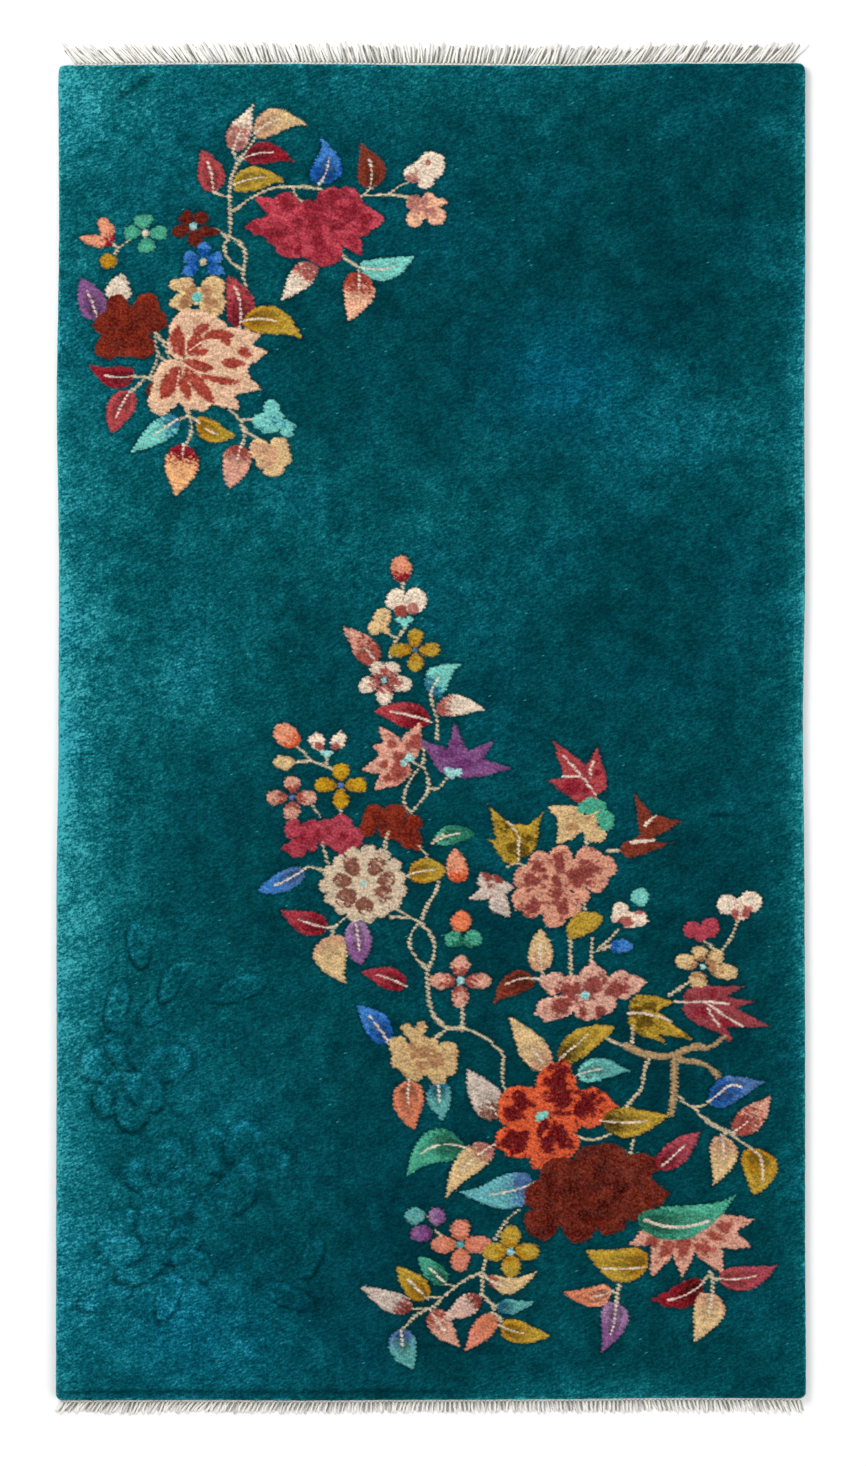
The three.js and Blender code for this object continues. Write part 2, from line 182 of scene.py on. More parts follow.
def lattice(a, b, seed):
    """Smooth repeatable noise from 0 to 1 on a lattice of unit squares."""
    table = np.random.default_rng(seed).random((128, 128))
    a0 = np.floor(a).astype(int)
    b0 = np.floor(b).astype(int)
    fa = smooth(a - a0, 0, 1)
    fb = smooth(b - b0, 0, 1)
    low = blend(table[a0 % 128, b0 % 128], table[(a0 + 1) % 128, b0 % 128], fa)
    high = blend(table[a0 % 128, (b0 + 1) % 128], table[(a0 + 1) % 128, (b0 + 1) % 128], fa)
    return blend(low, high, fb)


class Cartoon:
    """The design knot by knot: wool colour, how much of it covers the ground, the carving, and the painted
    shade and highlight that go with it.
    """

    def __init__(self, wools):
        self.wools = wools
        self.us = np.linspace(PILE_LEFT, PILE_LEFT + PILE_WIDE, COLUMNS * FINE + 1)
        self.vs = np.linspace(PILE_TOP_V, PILE_TOP_V + PILE_LONG, ROWS * FINE + 1)
        self.u, self.v = np.meshgrid(self.us, self.vs)
        shape = self.u.shape
        self.hue = np.zeros(shape + (3,))
        self.cover = np.zeros(shape)
        self.rise = np.zeros(shape)
        self.shade = np.zeros(shape)
        self.shine = np.zeros(shape)
        slid = (self.v + 0.9 * np.sin(self.u / 83) - SLANT * self.u) / KNOT
        phase = slid - np.floor(slid)
        self.tooth = 1 - 2 * np.abs(2 * phase - 1) ** 1.3
        # The gaps between knot rows: they shape the stem stitches and carry painted shade.
        self.gap = smooth(np.abs(phase - 0.5), 0.3, 0.5)
        self.stray = lattice(slid, self.u / 7, 3) - 0.5
        fine = lattice(slid * 2, self.u / 2.4 + 3.7 * np.floor(slid * 2), 7) - 0.5
        coarse = lattice(slid, self.u / 5.2 + 2.3 * np.floor(slid), 9) - 0.5
        self.grain = 0.75 * fine + 0.45 * coarse
        fleck = lattice(slid * 2.7 + 11, self.u / 1.5 + 1.9 * np.floor(slid * 2.7), 13) - 0.5
        # Dark flecks at random, with painted shade along the row gaps.
        self.dark_flecks = np.clip(0.3 + 1.8 * fleck + 0.4 * coarse + 0.3 * self.gap, 0, 1)

    def wool(self, name):
        return np.asarray(self.wools[name], dtype=float)

    def window(self, u_low, v_low, u_high, v_high):
        i0, i1 = np.searchsorted(self.us, (u_low - REACH, u_high + REACH))
        j0, j1 = np.searchsorted(self.vs, (v_low - REACH, v_high + REACH))
        return (slice(max(j0, 0), j1), slice(max(i0, 0), i1))

    def around(self, places, margin=0):
        us = [p[0] for p in places]
        vs = [p[1] for p in places]
        return self.window(min(us) - margin, min(vs) - margin, max(us) + margin, max(vs) + margin)

    def paint(self, w, field, wool, comb=1, height=1, groove_and_shade=1):
        """Knots the inside of a form into the design. field is below nought inside."""
        if field.size == 0:
            return
        step = KNOT / FINE
        down, right = np.gradient(field, step)
        slope = np.maximum(np.hypot(down, right), 0.35)
        away = field / slope
        ragged = comb * (1.7 * self.stray[w] + 1.8 * self.grain[w])
        edge = comb * 1.05 * np.abs(right / slope) * self.tooth[w] + ragged
        cover = smooth(edge - away, -0.6, 0.6)
        hue = wool if wool.ndim == 3 else np.broadcast_to(wool, field.shape + (3,))
        held = self.cover[w]
        total = np.maximum(held, cover)
        share = cover / np.maximum(total, 1e-6)
        bare = (held < 0.02) & (away < 3.5) & (self.hue[w].sum(axis=2) == 0)
        share = np.where(bare, 1, share)
        self.hue[w] = blend(self.hue[w], hue, share[..., None])
        self.cover[w] = total
        carved = 0.85 * groove_and_shade * np.exp(-((np.maximum(away - 1.6, 0) / 1.7) ** 2))
        outside = blend(self.rise[w], -0.65, carved)
        self.rise[w] = blend(outside, height * smooth(-away, -0.4, 3.2), smooth(-away, -0.9, 0.9))
        # Painted shade: the ground just outside a form is darkened, in its carved groove.
        dark = np.exp(-((np.maximum(away, 0) / 2.4) ** 2))
        self.shade[w] = np.maximum(self.shade[w] * (1 - cover), dark * (1 - cover) * groove_and_shade)

    def dither(self, w, first, second, share, strength=0.9):
        """Two wools knotted into each other, the second where share is high."""
        mix = smooth(share + strength * self.grain[w], 0.32, 0.68)
        return blend(self.wool(first), self.wool(second), mix[..., None])

    def blade(self, w, base, tip, wide, root=0.6, point=0.9, bend=0, hook=0):
        """A leaf's or petal's field, and the share of its length."""
        du, dv = tip[0] - base[0], tip[1] - base[1]
        long = math.hypot(du, dv)
        tu, tv = du / long, dv / long
        u, v = self.u[w] - base[0], self.v[w] - base[1]
        share = (u * tu + v * tv) / long
        side = v * tu - u * tv
        t = np.clip(share, 0, 1)
        past = np.maximum(np.maximum(-share, share - 1), 0) * long
        point = 1.25 * point
        peak = root / (root + point)
        norm = peak**root * (1 - peak) ** point
        half = 0.5 * wide * t**root * (1 - t) ** point / norm
        middle = bend * 4 * t * (1 - t) + hook * t**4
        return np.hypot(side - middle, past) - half, share

    def from_line(self, w, a, b):
        """How far the window's points are from a straight line, and the line's length."""
        du, dv = b[0] - a[0], b[1] - a[1]
        long = max(float(np.hypot(du, dv)), 1e-6)
        t = np.clip(((self.u[w] - a[0]) * du + (self.v[w] - a[1]) * dv) / long**2, 0, 1)
        return np.hypot(self.u[w] - a[0] - t * du, self.v[w] - a[1] - t * dv), long

    def rounds(self, w, discs):
        """The field of round lobes run together."""
        field = None
        for u, v, r in discs:
            one = np.hypot(self.u[w] - u, self.v[w] - v) - r
            field = one if field is None else np.minimum(field, one)
        return field

    def stem(self, places, wide=3.4, wool="stem", comb=1):
        """A stem through the places: slanted stitches where it climbs, a smooth line where it is level."""
        points = np.array(places, dtype=float)
        ends = np.vstack([2 * points[0] - points[1], points, 2 * points[-1] - points[-2]])
        path = [points[0]]
        for k in range(len(points) - 1):
            p0, p1, p2, p3 = ends[k : k + 4]
            for t in np.linspace(0.2, 1, 5):
                bow = (2 * p0 - 5 * p1 + 4 * p2 - p3) * t * t + (3 * p1 - p0 - 3 * p2 + p3) * t**3
                path.append(0.5 * (2 * p1 + (p2 - p0) * t + bow))
        w = self.around(path, wide)
        if self.u[w].size == 0:
            return
        near = np.full(self.u[w].shape, 1e9)
        climb = np.zeros_like(near)
        for a, b in zip(path[:-1], path[1:]):
            far, long = self.from_line(w, a, b)
            climb = np.where(far < near, abs(b[1] - a[1]) / long, climb)
            near = np.minimum(near, far)
        field = near - 0.43 * wide + 0.5 + 1.3 * comb * climb**2 * self.gap[w]
        # The darker stem wool here and there, and more of it in the row gaps where the stem climbs, as
        # painted shade between the stitches.
        hue = self.dither(w, wool, "stem_shade", 0.22 + 0.25 * self.gap[w] * climb, 0.7)
        self.paint(w, field, self.tinted(w, hue, 10), comb, 0.7, 0.5)

    def stems(self, *rows, wool="stem", comb=1):
        """Several stems, each as its width and then its places, across and down by turns."""
        for wide, *places in rows:
            self.stem(list(zip(places[::2], places[1::2])), wide, wool, comb)

    def leaf(self, base, tip, wide, wool, root_wool=None, rib=0.62, bend=0, hook=0, root=0.6, point=0.9,
             reach=0.42, rib_wool="rib"):
        """A leaf, darker or another colour at its root, with a pale midrib for a share of its length."""
        w = self.around((base, tip), wide / 2 + abs(bend) + abs(hook))
        if self.u[w].size == 0:
            return
        field, share = self.blade(w, base, tip, wide, root, point, bend, hook)
        hue = self.dither(w, root_wool or wool, wool, share / (2 * reach))
        core = smooth(-field, 0.5, 0.3 * wide) * (1.15 - share)
        speck = smooth(0.7 * core + 0.8 * self.grain[w], 0.2, 0.75)
        deep = 0.36 if self.wool(wool).sum() < 420 else 0.14
        self.paint(w, field, self.tinted(w, hue * (1.04 - deep * speck[..., None])))
        if rib:
            du, dv = tip[0] - base[0], tip[1] - base[1]
            long = math.hypot(du, dv)
            path = []
            for t in np.linspace(-0.04, rib, 7):
                off = bend * 4 * t * (1 - t) + hook * t**4
                path.append((base[0] + du * t - dv / long * off, base[1] + dv * t + du / long * off))
            self.stem(path, 2.9, rib_wool, 0.8)

    def tinted(self, w, hue, amount=15):
        """Small differences of dye from tuft to tuft, painted shade in the gaps between knot rows, and dark
        flecks at random.
        """
        spread = 2 * amount * self.grain[w] - 5 * self.gap[w]
        kept = 1 - self.dark_flecks[w][..., None] * np.array((0.22, 0.21, 0.2))
        return np.clip(hue * kept + spread[..., None], 0, 255)

    def petals(self, centre, rows, wool, heart=None, eye=None, start=2.6, root=0.55, point=0.45, depth=0.45,
               eye_size=3.2):
        """A blossom: petals as (angle, length, width), dark at the heart, and an eye."""
        for angle, long, wide in rows:
            c, s = math.cos(math.radians(angle)), -math.sin(math.radians(angle))
            base = (centre[0] + start * c, centre[1] + start * s)
            tip = (centre[0] + long * c, centre[1] + long * s)
            self.petal(base, tip, wide, wool, heart, root, point, depth)
        if eye:
            self.dot(centre, eye_size, eye)

    def petal(self, base, tip, wide, wool, heart=None, root=0.55, point=0.45, depth=0.45, bend=0):
        w = self.around((base, tip), wide / 2 + abs(bend))
        if self.u[w].size == 0:
            return
        field, share = self.blade(w, base, tip, wide, root, point, bend)
        hue = self.dither(w, heart or wool, wool, share / (2 * depth))
        self.paint(w, field, self.tinted(w, hue))

    def dot(self, centre, radius, wool, comb=0.7):
        w = self.around((centre,), radius)
        field = self.rounds(w, ((centre[0], centre[1], radius),))
        hue = np.broadcast_to(self.wool(wool), field.shape + (3,))
        self.paint(w, field, self.tinted(w, hue), comb, 0.8, 0.6)

    def bloom(self, discs, blades, wool, dark, patches=(), mottle=0.25, scallop=0, seams=0.25, point=0.8,
              amount=15, rim=0.1):
        """A large flower: lobes and pointed petals run together, with ragged darker patches (u, v, r)."""
        places = [(u - r, v - r) for u, v, r in discs] + [(u + r, v + r) for u, v, r in discs]
        places += [p for base, tip, _ in blades for p in (base, tip)]
        w = self.around(places, 6)
        field = self.rounds(w, discs) if discs else np.full(self.u[w].shape, 1e3)
        for base, tip, wide in blades:
            field = np.minimum(field, self.blade(w, base, tip, wide, 0.45, point)[0])
        shade = mottle * lattice(self.u[w] / 11, self.v[w] / 8, 21)
        ragged = 1 + 0.9 * (lattice(self.u[w] / 5.5, self.v[w] / 4.2, 27) - 0.5)
        heart_u = sum(d[0] for d in discs) / max(len(discs), 1)
        heart_v = sum(d[1] for d in discs) / max(len(discs), 1)
        for u, v, r in patches:
            # A patch is longer towards the flower's heart than across.
            out = math.hypot(u - heart_u, v - heart_v)
            du, dv = ((u - heart_u) / out, (v - heart_v) / out) if out > 4 else (1, 0)
            along = (self.u[w] - u) * du + (self.v[w] - v) * dv
            aside = (self.v[w] - v) * du - (self.u[w] - u) * dv
            far = ragged * np.hypot(along / 1.35, aside / 0.95)
            shade = np.maximum(shade, 1 - smooth(far, 0.2 * r, 1.7 * r))
        if len(discs) > 1 and seams:
            lobes = [np.hypot(self.u[w] - u, self.v[w] - v) - r for u, v, r in discs]
            near = np.sort(np.stack(lobes), axis=0)
            seam = 1 - smooth(near[1] - near[0], 0.6, 2.6)
            shade = np.maximum(shade, seams * seam * (near[0] > -9))
        if scallop:
            field = field + scallop * (lattice(self.u[w] / 6.5, self.v[w] / 6.5, 31) - 0.5)
        # A painted highlight: the outer tufts of a petal, which stand up, are painted lighter.
        lit = rim * (1 - shade) * np.exp(-((field / 3.6) ** 2))
        hue = self.dither(w, wool, dark, shade, 1) * (1 + lit[..., None])
        self.paint(w, field, self.tinted(w, hue, amount))


# ---- the sprays


def top_left_spray(c):
    """The upper spray: leaves round a climbing stem, a rose-red peony and a row of small blossoms."""
    c.stems(
        (4.2, 241.5, 155, 238.5, 160, 233.6, 169, 229.5, 180, 228.2, 194, 228.2, 208, 229, 223, 228, 237),
        (3.4, 241, 157, 247.5, 148, 256.5, 134), (3.2, 241, 160, 234, 157, 231.8, 150),
        (3.2, 211.5, 188, 216, 193, 227, 197.5), (3.4, 228, 237, 223, 246, 226.5, 259, 241, 270),
        (3.4, 229, 237, 241, 246, 243.5, 257, 243, 269), (3.6, 242.5, 268, 242, 276, 245, 286),
        (3, 228, 237, 222, 235, 215, 230),
        (3.8, 229, 213, 239, 206, 251.5, 197, 271, 188.5, 291, 187, 305, 187.5, 319, 189.5),
        (4.2, 291, 188, 296, 198, 302, 202), (3.6, 354, 201, 362, 195, 371, 187),
        (3.4, 362, 195, 375, 195, 385, 194.3, 397, 195.3, 407, 197),
        (3.4, 389, 193.5, 397, 186.5, 408, 181.5), (3.2, 339, 254, 348, 261, 357.5, 268),
        (3, 107, 240, 114, 245, 118, 247, 127.5, 239.5), (3, 117, 247, 113.5, 253),
    )
    c.leaf((232, 150), (252.5, 104), 24, "cream", "dusty_rose", 0.42, -1, 0, 0.55, 1.15)
    c.leaf((253, 134), (306, 121), 26, "tan_leaf", "dusty_tan", 0.5, -8, 6, 0.55, 0.95)
    c.leaf((243.5, 158), (292, 157), 21, "crimson", "peony_dark", 0.58, -5, 5, 0.6, 0.85)
    c.leaf((212, 191.5), (203, 149), 26, "rose_red", None, 0.7, 1.5, -3, 0.55, 0.8)
    c.leaf((231.5, 185.5), (283, 178), 24, "mustard", None, 0.62, -4, 4, 0.65, 1)
    c.leaf((319, 183), (324.5, 138.5), 31, "sky_blue", "deep_blue", 0.56, 6, -5, 0.5, 1.1)
    c.leaf((369, 187), (360.5, 144), 28, "rust", None, 0.62, 5, -2, 0.5, 0.95)
    c.bloom(
        ((424.6, 180, 8.5), (412.5, 173, 9.5), (430, 164.5, 13.6), (422, 170, 12)), (), "cream",
        "dusty_rose", ((411, 181, 7), (427, 162, 2.5)), 0.12, 2,
    )
    c.bloom(
        ((428, 202, 9), (414, 203, 8.5), (414, 217.5, 8.4), (435.4, 215.5, 9), (424.5, 209, 9)),
        (((430, 203), (448, 201.5), 9),), "peach", "dusty_rose",
        ((412, 202, 7), (431, 212, 5), (424, 200, 4)), 0.2,
    )
    c.bloom(
        ((285, 206, 14), (331, 205, 17), (345, 203, 16), (306, 212, 12), (276, 234, 11), (290, 242, 17),
         (324, 250, 17), (308, 238, 20), (318, 226, 26)),
        (((304, 226), (240.5, 228), 26), ((298, 222), (253, 197), 22), ((322, 222), (385, 218.5), 44),
         ((340, 226), (360, 255), 22)), "peony_pink", "peony_dark",
        ((314, 203, 11), (330, 199, 7), (349, 213, 9), (286, 203, 8), (276, 234, 9), (313, 226, 7),
         (336, 226, 7), (298, 222, 5), (318, 242, 6), (296, 250, 4), (364, 218, 6)), 0.75, 2, 0.55, 0.8, 22,
        0.22,
    )
    c.leaf((312, 264), (282.5, 302), 23, "cream", "rose_spot", 0, 1, 2, 0.5, 0.9, 0.3)
    c.leaf((358.5, 267.5), (412.5, 259.5), 22, "turquoise", None, 0.62, 5, -3, 0.6, 0.7)
    c.leaf((357.7, 272), (348.8, 322), 31, "peach", "brick", 0.3, -4, 1, 0.5, 0.85, 0.36)
    c.petal((111, 241), (99, 217), 12, "salmon", "crimson", depth=0.25)
    c.petal((110, 243.5), (79, 237), 11.5, "salmon", "crimson", depth=0.22)
    c.petal((115, 259), (98.5, 262.5), 14.5, "gold_bud")
    c.petals(
        (143.6, 233), ((96, 18.5, 18), (0, 21.5, 14), (180, 21, 14), (-84, 19.5, 17)), "jade", "jade",
        "cream", 3.5, 0.8, 0.3, 0.4, 3.6,
    )
    c.petals(
        (191.8, 226), ((134, 17, 13), (46, 17.5, 13), (200, 22, 12), (-83, 21, 13)), "dark_rust",
        "dark_rust", None, 3, 0.7, 0.4,
    )
    c.petal((197, 230.5), (219, 232.5), 10, "dark_rust", "dark_rust", 0.5, 0.8)
    c.dot((191.8, 226), 4, "pale_turquoise")
    c.petals(
        (201.6, 261.8), ((86, 19, 13.5), (162, 20, 12.5), (16, 20, 12)), "sky_blue", "deep_blue", None, 5,
        0.7, 0.35,
    )
    c.petal((196, 266.5), (180, 273.5), 12, "sky_blue", "deep_blue", 0.5, 0.7)
    c.petal((207, 266.5), (223, 273.5), 12, "sky_blue", "deep_blue", 0.5, 0.7)
    c.dot((201.5, 262), 3, "stem")
    c.leaf((239.5, 327), (229.5, 276), 28, "rose_red", "peony_dark", 0.8, 4.5, -3, 0.5, 0.75)
    c.leaf((243, 321), (303, 334), 28, "mustard", "gold_bud", 0.55, -7, 5, 0.6, 0.85)
    c.bloom(
        ((184.5, 286.5, 9), (174.5, 285.5, 5.5), (212, 287.5, 11.5), (182, 302, 9.5), (174, 303, 5),
         (212, 304, 13), (196, 296, 9)), (), "tan_leaf", "gold_tan",
        ((186, 301, 7), (208, 302, 7), (205, 292, 5), (190, 291, 5)), 0.4,
    )
    c.dot((196.3, 297.3), 5, "turquoise")
    c.leaf((97, 318), (77.5, 277.5), 27, "purple", "purple", 0.66, 2, 2, 0.5, 0.8)
    c.petal((116, 301), (119.5, 273.5), 25, "cream", "cream", 0.45, 0.75)
    c.bloom(
        ((130, 327, 22), (106, 323, 12), (117, 306, 11.5), (146, 306, 13), (154, 320, 12), (142, 347, 12.5),
         (108, 346, 12.5), (124, 344, 13)),
        (((140, 318), (167, 319), 16), ((118, 322), (90.5, 325), 14)),
        "rust_brown", "dark_rust",
        ((130, 330, 9), (112, 322, 6), (146, 310, 6), (120, 343, 6), (140, 340, 5), (152, 322, 5)), 0.75, 2,
    )
    c.stems(
        (3.4, 155, 333, 163, 342, 168, 353, 172, 361.5, 183, 361.8),
        (3.2, 155, 334, 155.5, 345, 159, 354, 166, 361.5, 172, 362),
        (3.2, 158, 354, 155, 366, 150.5, 377, 155, 382), (3.2, 151, 377.5, 140, 376.8, 131, 376.2),
        (3.2, 145, 378, 134, 390, 124, 398),
    )
    c.leaf((134, 375.5), (88.5, 366.5), 22, "crimson", "peony_dark", 0.6, -5, 3, 0.5, 0.95)
    c.leaf((130.5, 391), (111.5, 432.5), 27, "rose_red", None, 0.66, 2, 0, 0.55, 0.75)
    c.petal((157, 382), (148, 395), 9, "dark_rust")
    fan(c)
    c.stems(
        (3.8, 190, 408, 188.5, 416), (3.2, 189, 416, 180, 420, 171, 426.5),
        (3.4, 190, 416, 192, 430, 188, 441, 185, 447), (3.2, 190, 417, 200.5, 423, 208, 430),
        (3.4, 229, 409.5, 240, 419.5, 245, 430, 261, 440), (3.2, 240, 419.5, 249, 420, 258, 419.5),
        (3.4, 244.5, 430, 244, 440, 239, 450),
    )
    c.leaf((179, 419), (131, 452.5), 23, "turquoise", "river_blue", 0.5, 1, 0, 0.5, 0.9, 0.22)
    c.leaf((183.5, 445.5), (176.5, 495.5), 33, "apricot", "crimson", 0.22, -1, 1, 0.5, 0.8, 0.25)
    c.leaf((197, 421), (236, 436), 22, "mustard", "gold_bud", 0.6, 5, 0, 0.55, 0.8)
    c.leaf((241, 446), (229, 489.5), 28, "salmon_pink", "brick_rose", 0.28, 0, 0, 0.5, 0.85, 0.3)
    c.bloom(
        ((260, 450.5, 10.5), (279, 448.5, 10), (282, 457, 9), (273, 464, 12), (263, 461, 8), (268, 456, 10)),
        (), "tan_leaf", "dusty_tan", ((262, 449, 7), (272, 452, 6), (268, 462, 6)), 0.5, 2,
    )
    c.bloom(
        ((272, 407.5, 7.5), (262, 421, 8.5), (272, 421, 12), (287, 428.5, 7.5), (266, 428, 5)),
        (((278, 426), (297.5, 425.5), 12),), "turquoise", "river_blue", (), 0.42, 2, 0.15,
    )


def fan(c):
    """The great fan flower: petals that spread from one corner, with brick stripes along their veins."""
    c.bloom(
        ((161.5, 402, 12.5), (170, 396, 12), (192, 331, 22), (209, 335, 20), (183, 345, 16), (200, 398, 13),
         (225, 380, 20)),
        (((181, 362), (189, 414.5), 30), ((184, 362), (240, 410), 40), ((184, 362), (261.5, 390), 44),
         ((184, 362), (269.5, 351.5), 44), ((184, 358), (260.5, 335), 46), ((181, 362), (152, 410), 34)),
        "fan_peach", "dusty_tan", ((196, 322, 3),), 0.35, 2.5,
    )
    for base, tip, wide, bow in (
        ((184, 358), (178, 326), 13, -3), ((188, 354), (199, 331), 14, 2), ((203, 338.5), (234, 335), 10, -2),
        ((191, 355), (209, 350), 7, 0), ((183, 361), (214, 369), 10.5, 1.5),
        ((222, 362.5), (246, 363.5), 10, 0),
        ((201, 376), (243, 382), 7.5, 1.5), ((185, 368), (215, 404), 13, 0), ((180, 367), (162, 400), 17, 0),
        ((180, 372), (190, 401), 10, 0), ((218, 334), (230, 346), 8, 0), ((238, 349), (251, 356), 9, 0),
        ((172, 332), (177, 350), 7, 0), ((209, 326), (192, 332), 8, 0),
    ):
        w = c.around((base, tip), wide)
        field, share = c.blade(w, base, tip, wide, 0.6, 0.6, bow)
        hue = c.dither(w, "brick", "fan_peach", 0.06 + 0.5 * np.abs(share - 0.5), 0.8)
        c.paint(w, field + 3.6 * c.grain[w] - 0.1, c.tinted(w, hue), 1, 0.6, 0.35)
    c.stems(
        (2.4, 186, 356, 186, 345, 188, 336), (2.4, 180, 371, 177, 388), (2.4, 185, 365, 199, 372, 215, 374),
        (2.4, 188, 358, 200, 356), (2.4, 190, 350, 205, 341, 220, 340), wool="fan_light", comb=0.6,
    )


def centre_spray(c):
    """The middle spray: small blossoms above, star flowers and the round scalloped bloom below."""
    c.stems(
        (4, 401.8, 580, 402, 592), (3.6, 404.5, 627, 398, 637, 391.5, 647, 389.5, 658),
        (3.2, 397, 637, 392, 636.5, 386, 631),
        (3.6, 431.5, 690, 432, 701, 434.8, 711.5, 437.5, 721, 437, 738), (3.6, 424, 746, 424, 758, 421, 765),
        (3.4, 409, 759, 417, 764, 424, 768, 428.5, 779, 428.5, 790, 421, 801, 411.5, 812),
        (3.4, 418, 769, 408, 784, 404.5, 797, 405.5, 806, 412, 813),
        (3.2, 428, 789, 433, 788.5, 440, 787, 447, 778), (3.2, 295, 744, 302, 751, 311, 759.5),
        (3.6, 294, 762.3, 303, 761.3, 311, 760.5, 322, 764.5, 333, 769), (3.6, 326, 763.5, 327.8, 754.5),
        (3.8, 341, 807.5, 341, 814), (3.2, 312.5, 806, 317, 811, 321, 816.5),
    )
    c.petal((400, 581), (400.5, 555.5), 20.5, "salmon", "crimson", 0.5, 0.42, 0.3)
    c.bloom(
        ((396, 599, 10), (414, 599.5, 11.5), (405, 603, 9)),
        (((398, 604), (384, 601.5), 13), ((410, 600), (411.5, 588), 9), ((412, 603), (426.5, 600), 12)),
        "cream", "rose_spot", (), 0.1, 1.5,
    )
    c.dot((400, 611), 6.6, "brick_rose")
    c.dot((412, 608.5), 5.6, "dusty_rose")
    c.bloom(((403.5, 622, 4.5), (398, 619.5, 3.2), (409, 619, 3.6)), (), "turquoise", "river_blue", (), 0.3)
    c.bloom(
        ((382, 616.8, 8.6), (374, 627.5, 6.5), (381, 626, 6.5)), (((380, 624), (389, 634.5), 9),),
        "tan_leaf", "gold_tan", (), 0.35,
    )
    c.petals(
        (415, 649.8), ((90, 21.5, 15), (180, 26, 14), (0, 24.5, 14), (-90, 21.5, 15)), "mustard", "gold_bud",
        None, 3, 0.7, 0.42,
    )
    c.dot((415, 649.8), 2.4, "slate_blue")
    c.leaf((376, 662), (342.5, 626), 24, "salmon_pink", "brick_rose", 0.36, 1, 0, 0.5, 0.95, 0.5)
    c.petals(
        (384, 680), ((118, 20.5, 15.5), (57, 21.5, 16), (196, 26.5, 15.5), (-10, 28, 16), (-88, 24.5, 16)),
        "cream", "rose_spot", "pale_turquoise", 3.5, 0.65, 0.42, 0.42, 3,
    )
    c.leaf((431, 693), (462.5, 660.5), 26, "turquoise", "river_blue", 0.34, -6, 4, 0.6, 1.4, 0.22, "cream")
    c.leaf((437, 709), (485.5, 708), 21, "cream", "rose_spot", 0, -4, 2, 0.6, 1, 0.24)
    c.leaf((430, 721), (375.5, 709.5), 25, "peony_rose", "crimson", 0.72, 2, -1, 0.6, 0.8)
    c.bloom(
        ((393, 757, 14), (402, 750, 9)),
        (((402, 756), (380, 726), 18), ((405, 758), (420.5, 722), 22), ((404, 752), (371.5, 746), 17),
         ((406, 760), (361.5, 769.5), 21), ((408, 762), (374, 790), 24)), "salmon_pink", "brick_rose",
        ((415, 743, 6), (393, 744, 5), (399, 757, 6), (398, 770, 8), (385, 764, 4), (388, 778, 4)), 0.45,
        1.5,
    )
    c.bloom(
        ((459, 759, 12.5), (475, 764, 8.5)),
        (((458, 770), (417, 737), 21), ((459, 768), (454.5, 721.5), 20), ((462, 769), (494.5, 740), 19),
         ((456, 766), (513, 768), 22), ((448, 758), (452, 775), 10)), "purple", "plum",
        ((446, 752.5, 6), (466, 763, 8), (456, 744, 4), (482, 760, 4)), 0.6, 1.5, 0.25, 1.15,
    )
    c.bloom(((409, 757.5, 4.6), (404, 762, 3)), (), "pale_turquoise", "turquoise", (), 0.3)
    c.bloom(((452, 773, 5), (458, 772, 4), (447, 770, 3)), (), "pale_turquoise", "turquoise", (), 0.3)
    c.petal((297, 745), (275.5, 725.5), 20.5, "salmon", "orange", 0.5, 0.4, 0.3)
    c.petal((295, 762.5), (273, 761.5), 13.5, "tan_leaf")
    c.bloom(((317.5, 741, 7), (313.5, 740, 5), (320, 746, 3.6)), (((317, 742), (315.5, 731.5), 8),), "cream",
            "rose_spot", ((320, 747, 4.4),), 0.15, 1)
    c.bloom(
        ((338, 741, 7), (341.5, 738, 4.6), (335.5, 746, 3.6)), (((338.5, 740), (340, 730.5), 8),), "cream",
        "rose_spot", ((335.5, 747, 4.4),), 0.15, 1,
    )
    c.bloom(
        ((327, 753.5, 3.4), (323, 752, 2.2), (331, 752, 2.2)), (), "pale_turquoise", "turquoise", (), 0.2,
    )
    c.petals(
        (341, 784.6), ((90, 21, 16), (180, 25.5, 14), (0, 25.5, 14), (-90, 24, 16)), "gold", "gold_bud",
        None, 3.5, 0.75, 0.4,
    )
    c.dot((341, 784.6), 3, "slate_blue")
    c.petals(
        (292, 797), ((90, 21.5, 15.5), (180, 25.5, 14), (0, 24.5, 14), (-90, 21.5, 15.5)), "salmon_pink",
        "brick_rose", None, 3.5, 0.7, 0.42, 0.42,
    )
    c.dot((292, 797), 3, "slate_blue")
    c.bloom(
        ((293.5, 829, 9), (298, 847, 9.5), (311, 832, 12), (326.5, 832, 13), (341.8, 825, 11),
         (353, 838, 10.5), (337, 840, 10), (312, 845, 6), (345, 846, 8)),
        (((296, 845), (282.5, 848), 8), ((352, 836), (363.5, 833.5), 12)), "rose_blob", "peony_dark",
        ((318, 833, 4), (344, 836, 4), (300, 838, 4)), 0.6, 2,
    )
    c.bloom(
        ((374.5, 815, 11), (395.5, 815, 11), (368.5, 828, 8), (391.6, 825, 14), (412.7, 823, 9),
         (411, 838, 11), (400, 830, 12), (416, 846, 5)), (), "rust_brown", "dark_rust",
        ((384, 824, 6), (403, 822, 5), (410, 834, 5), (377, 815, 4)), 0.7, 2,
    )
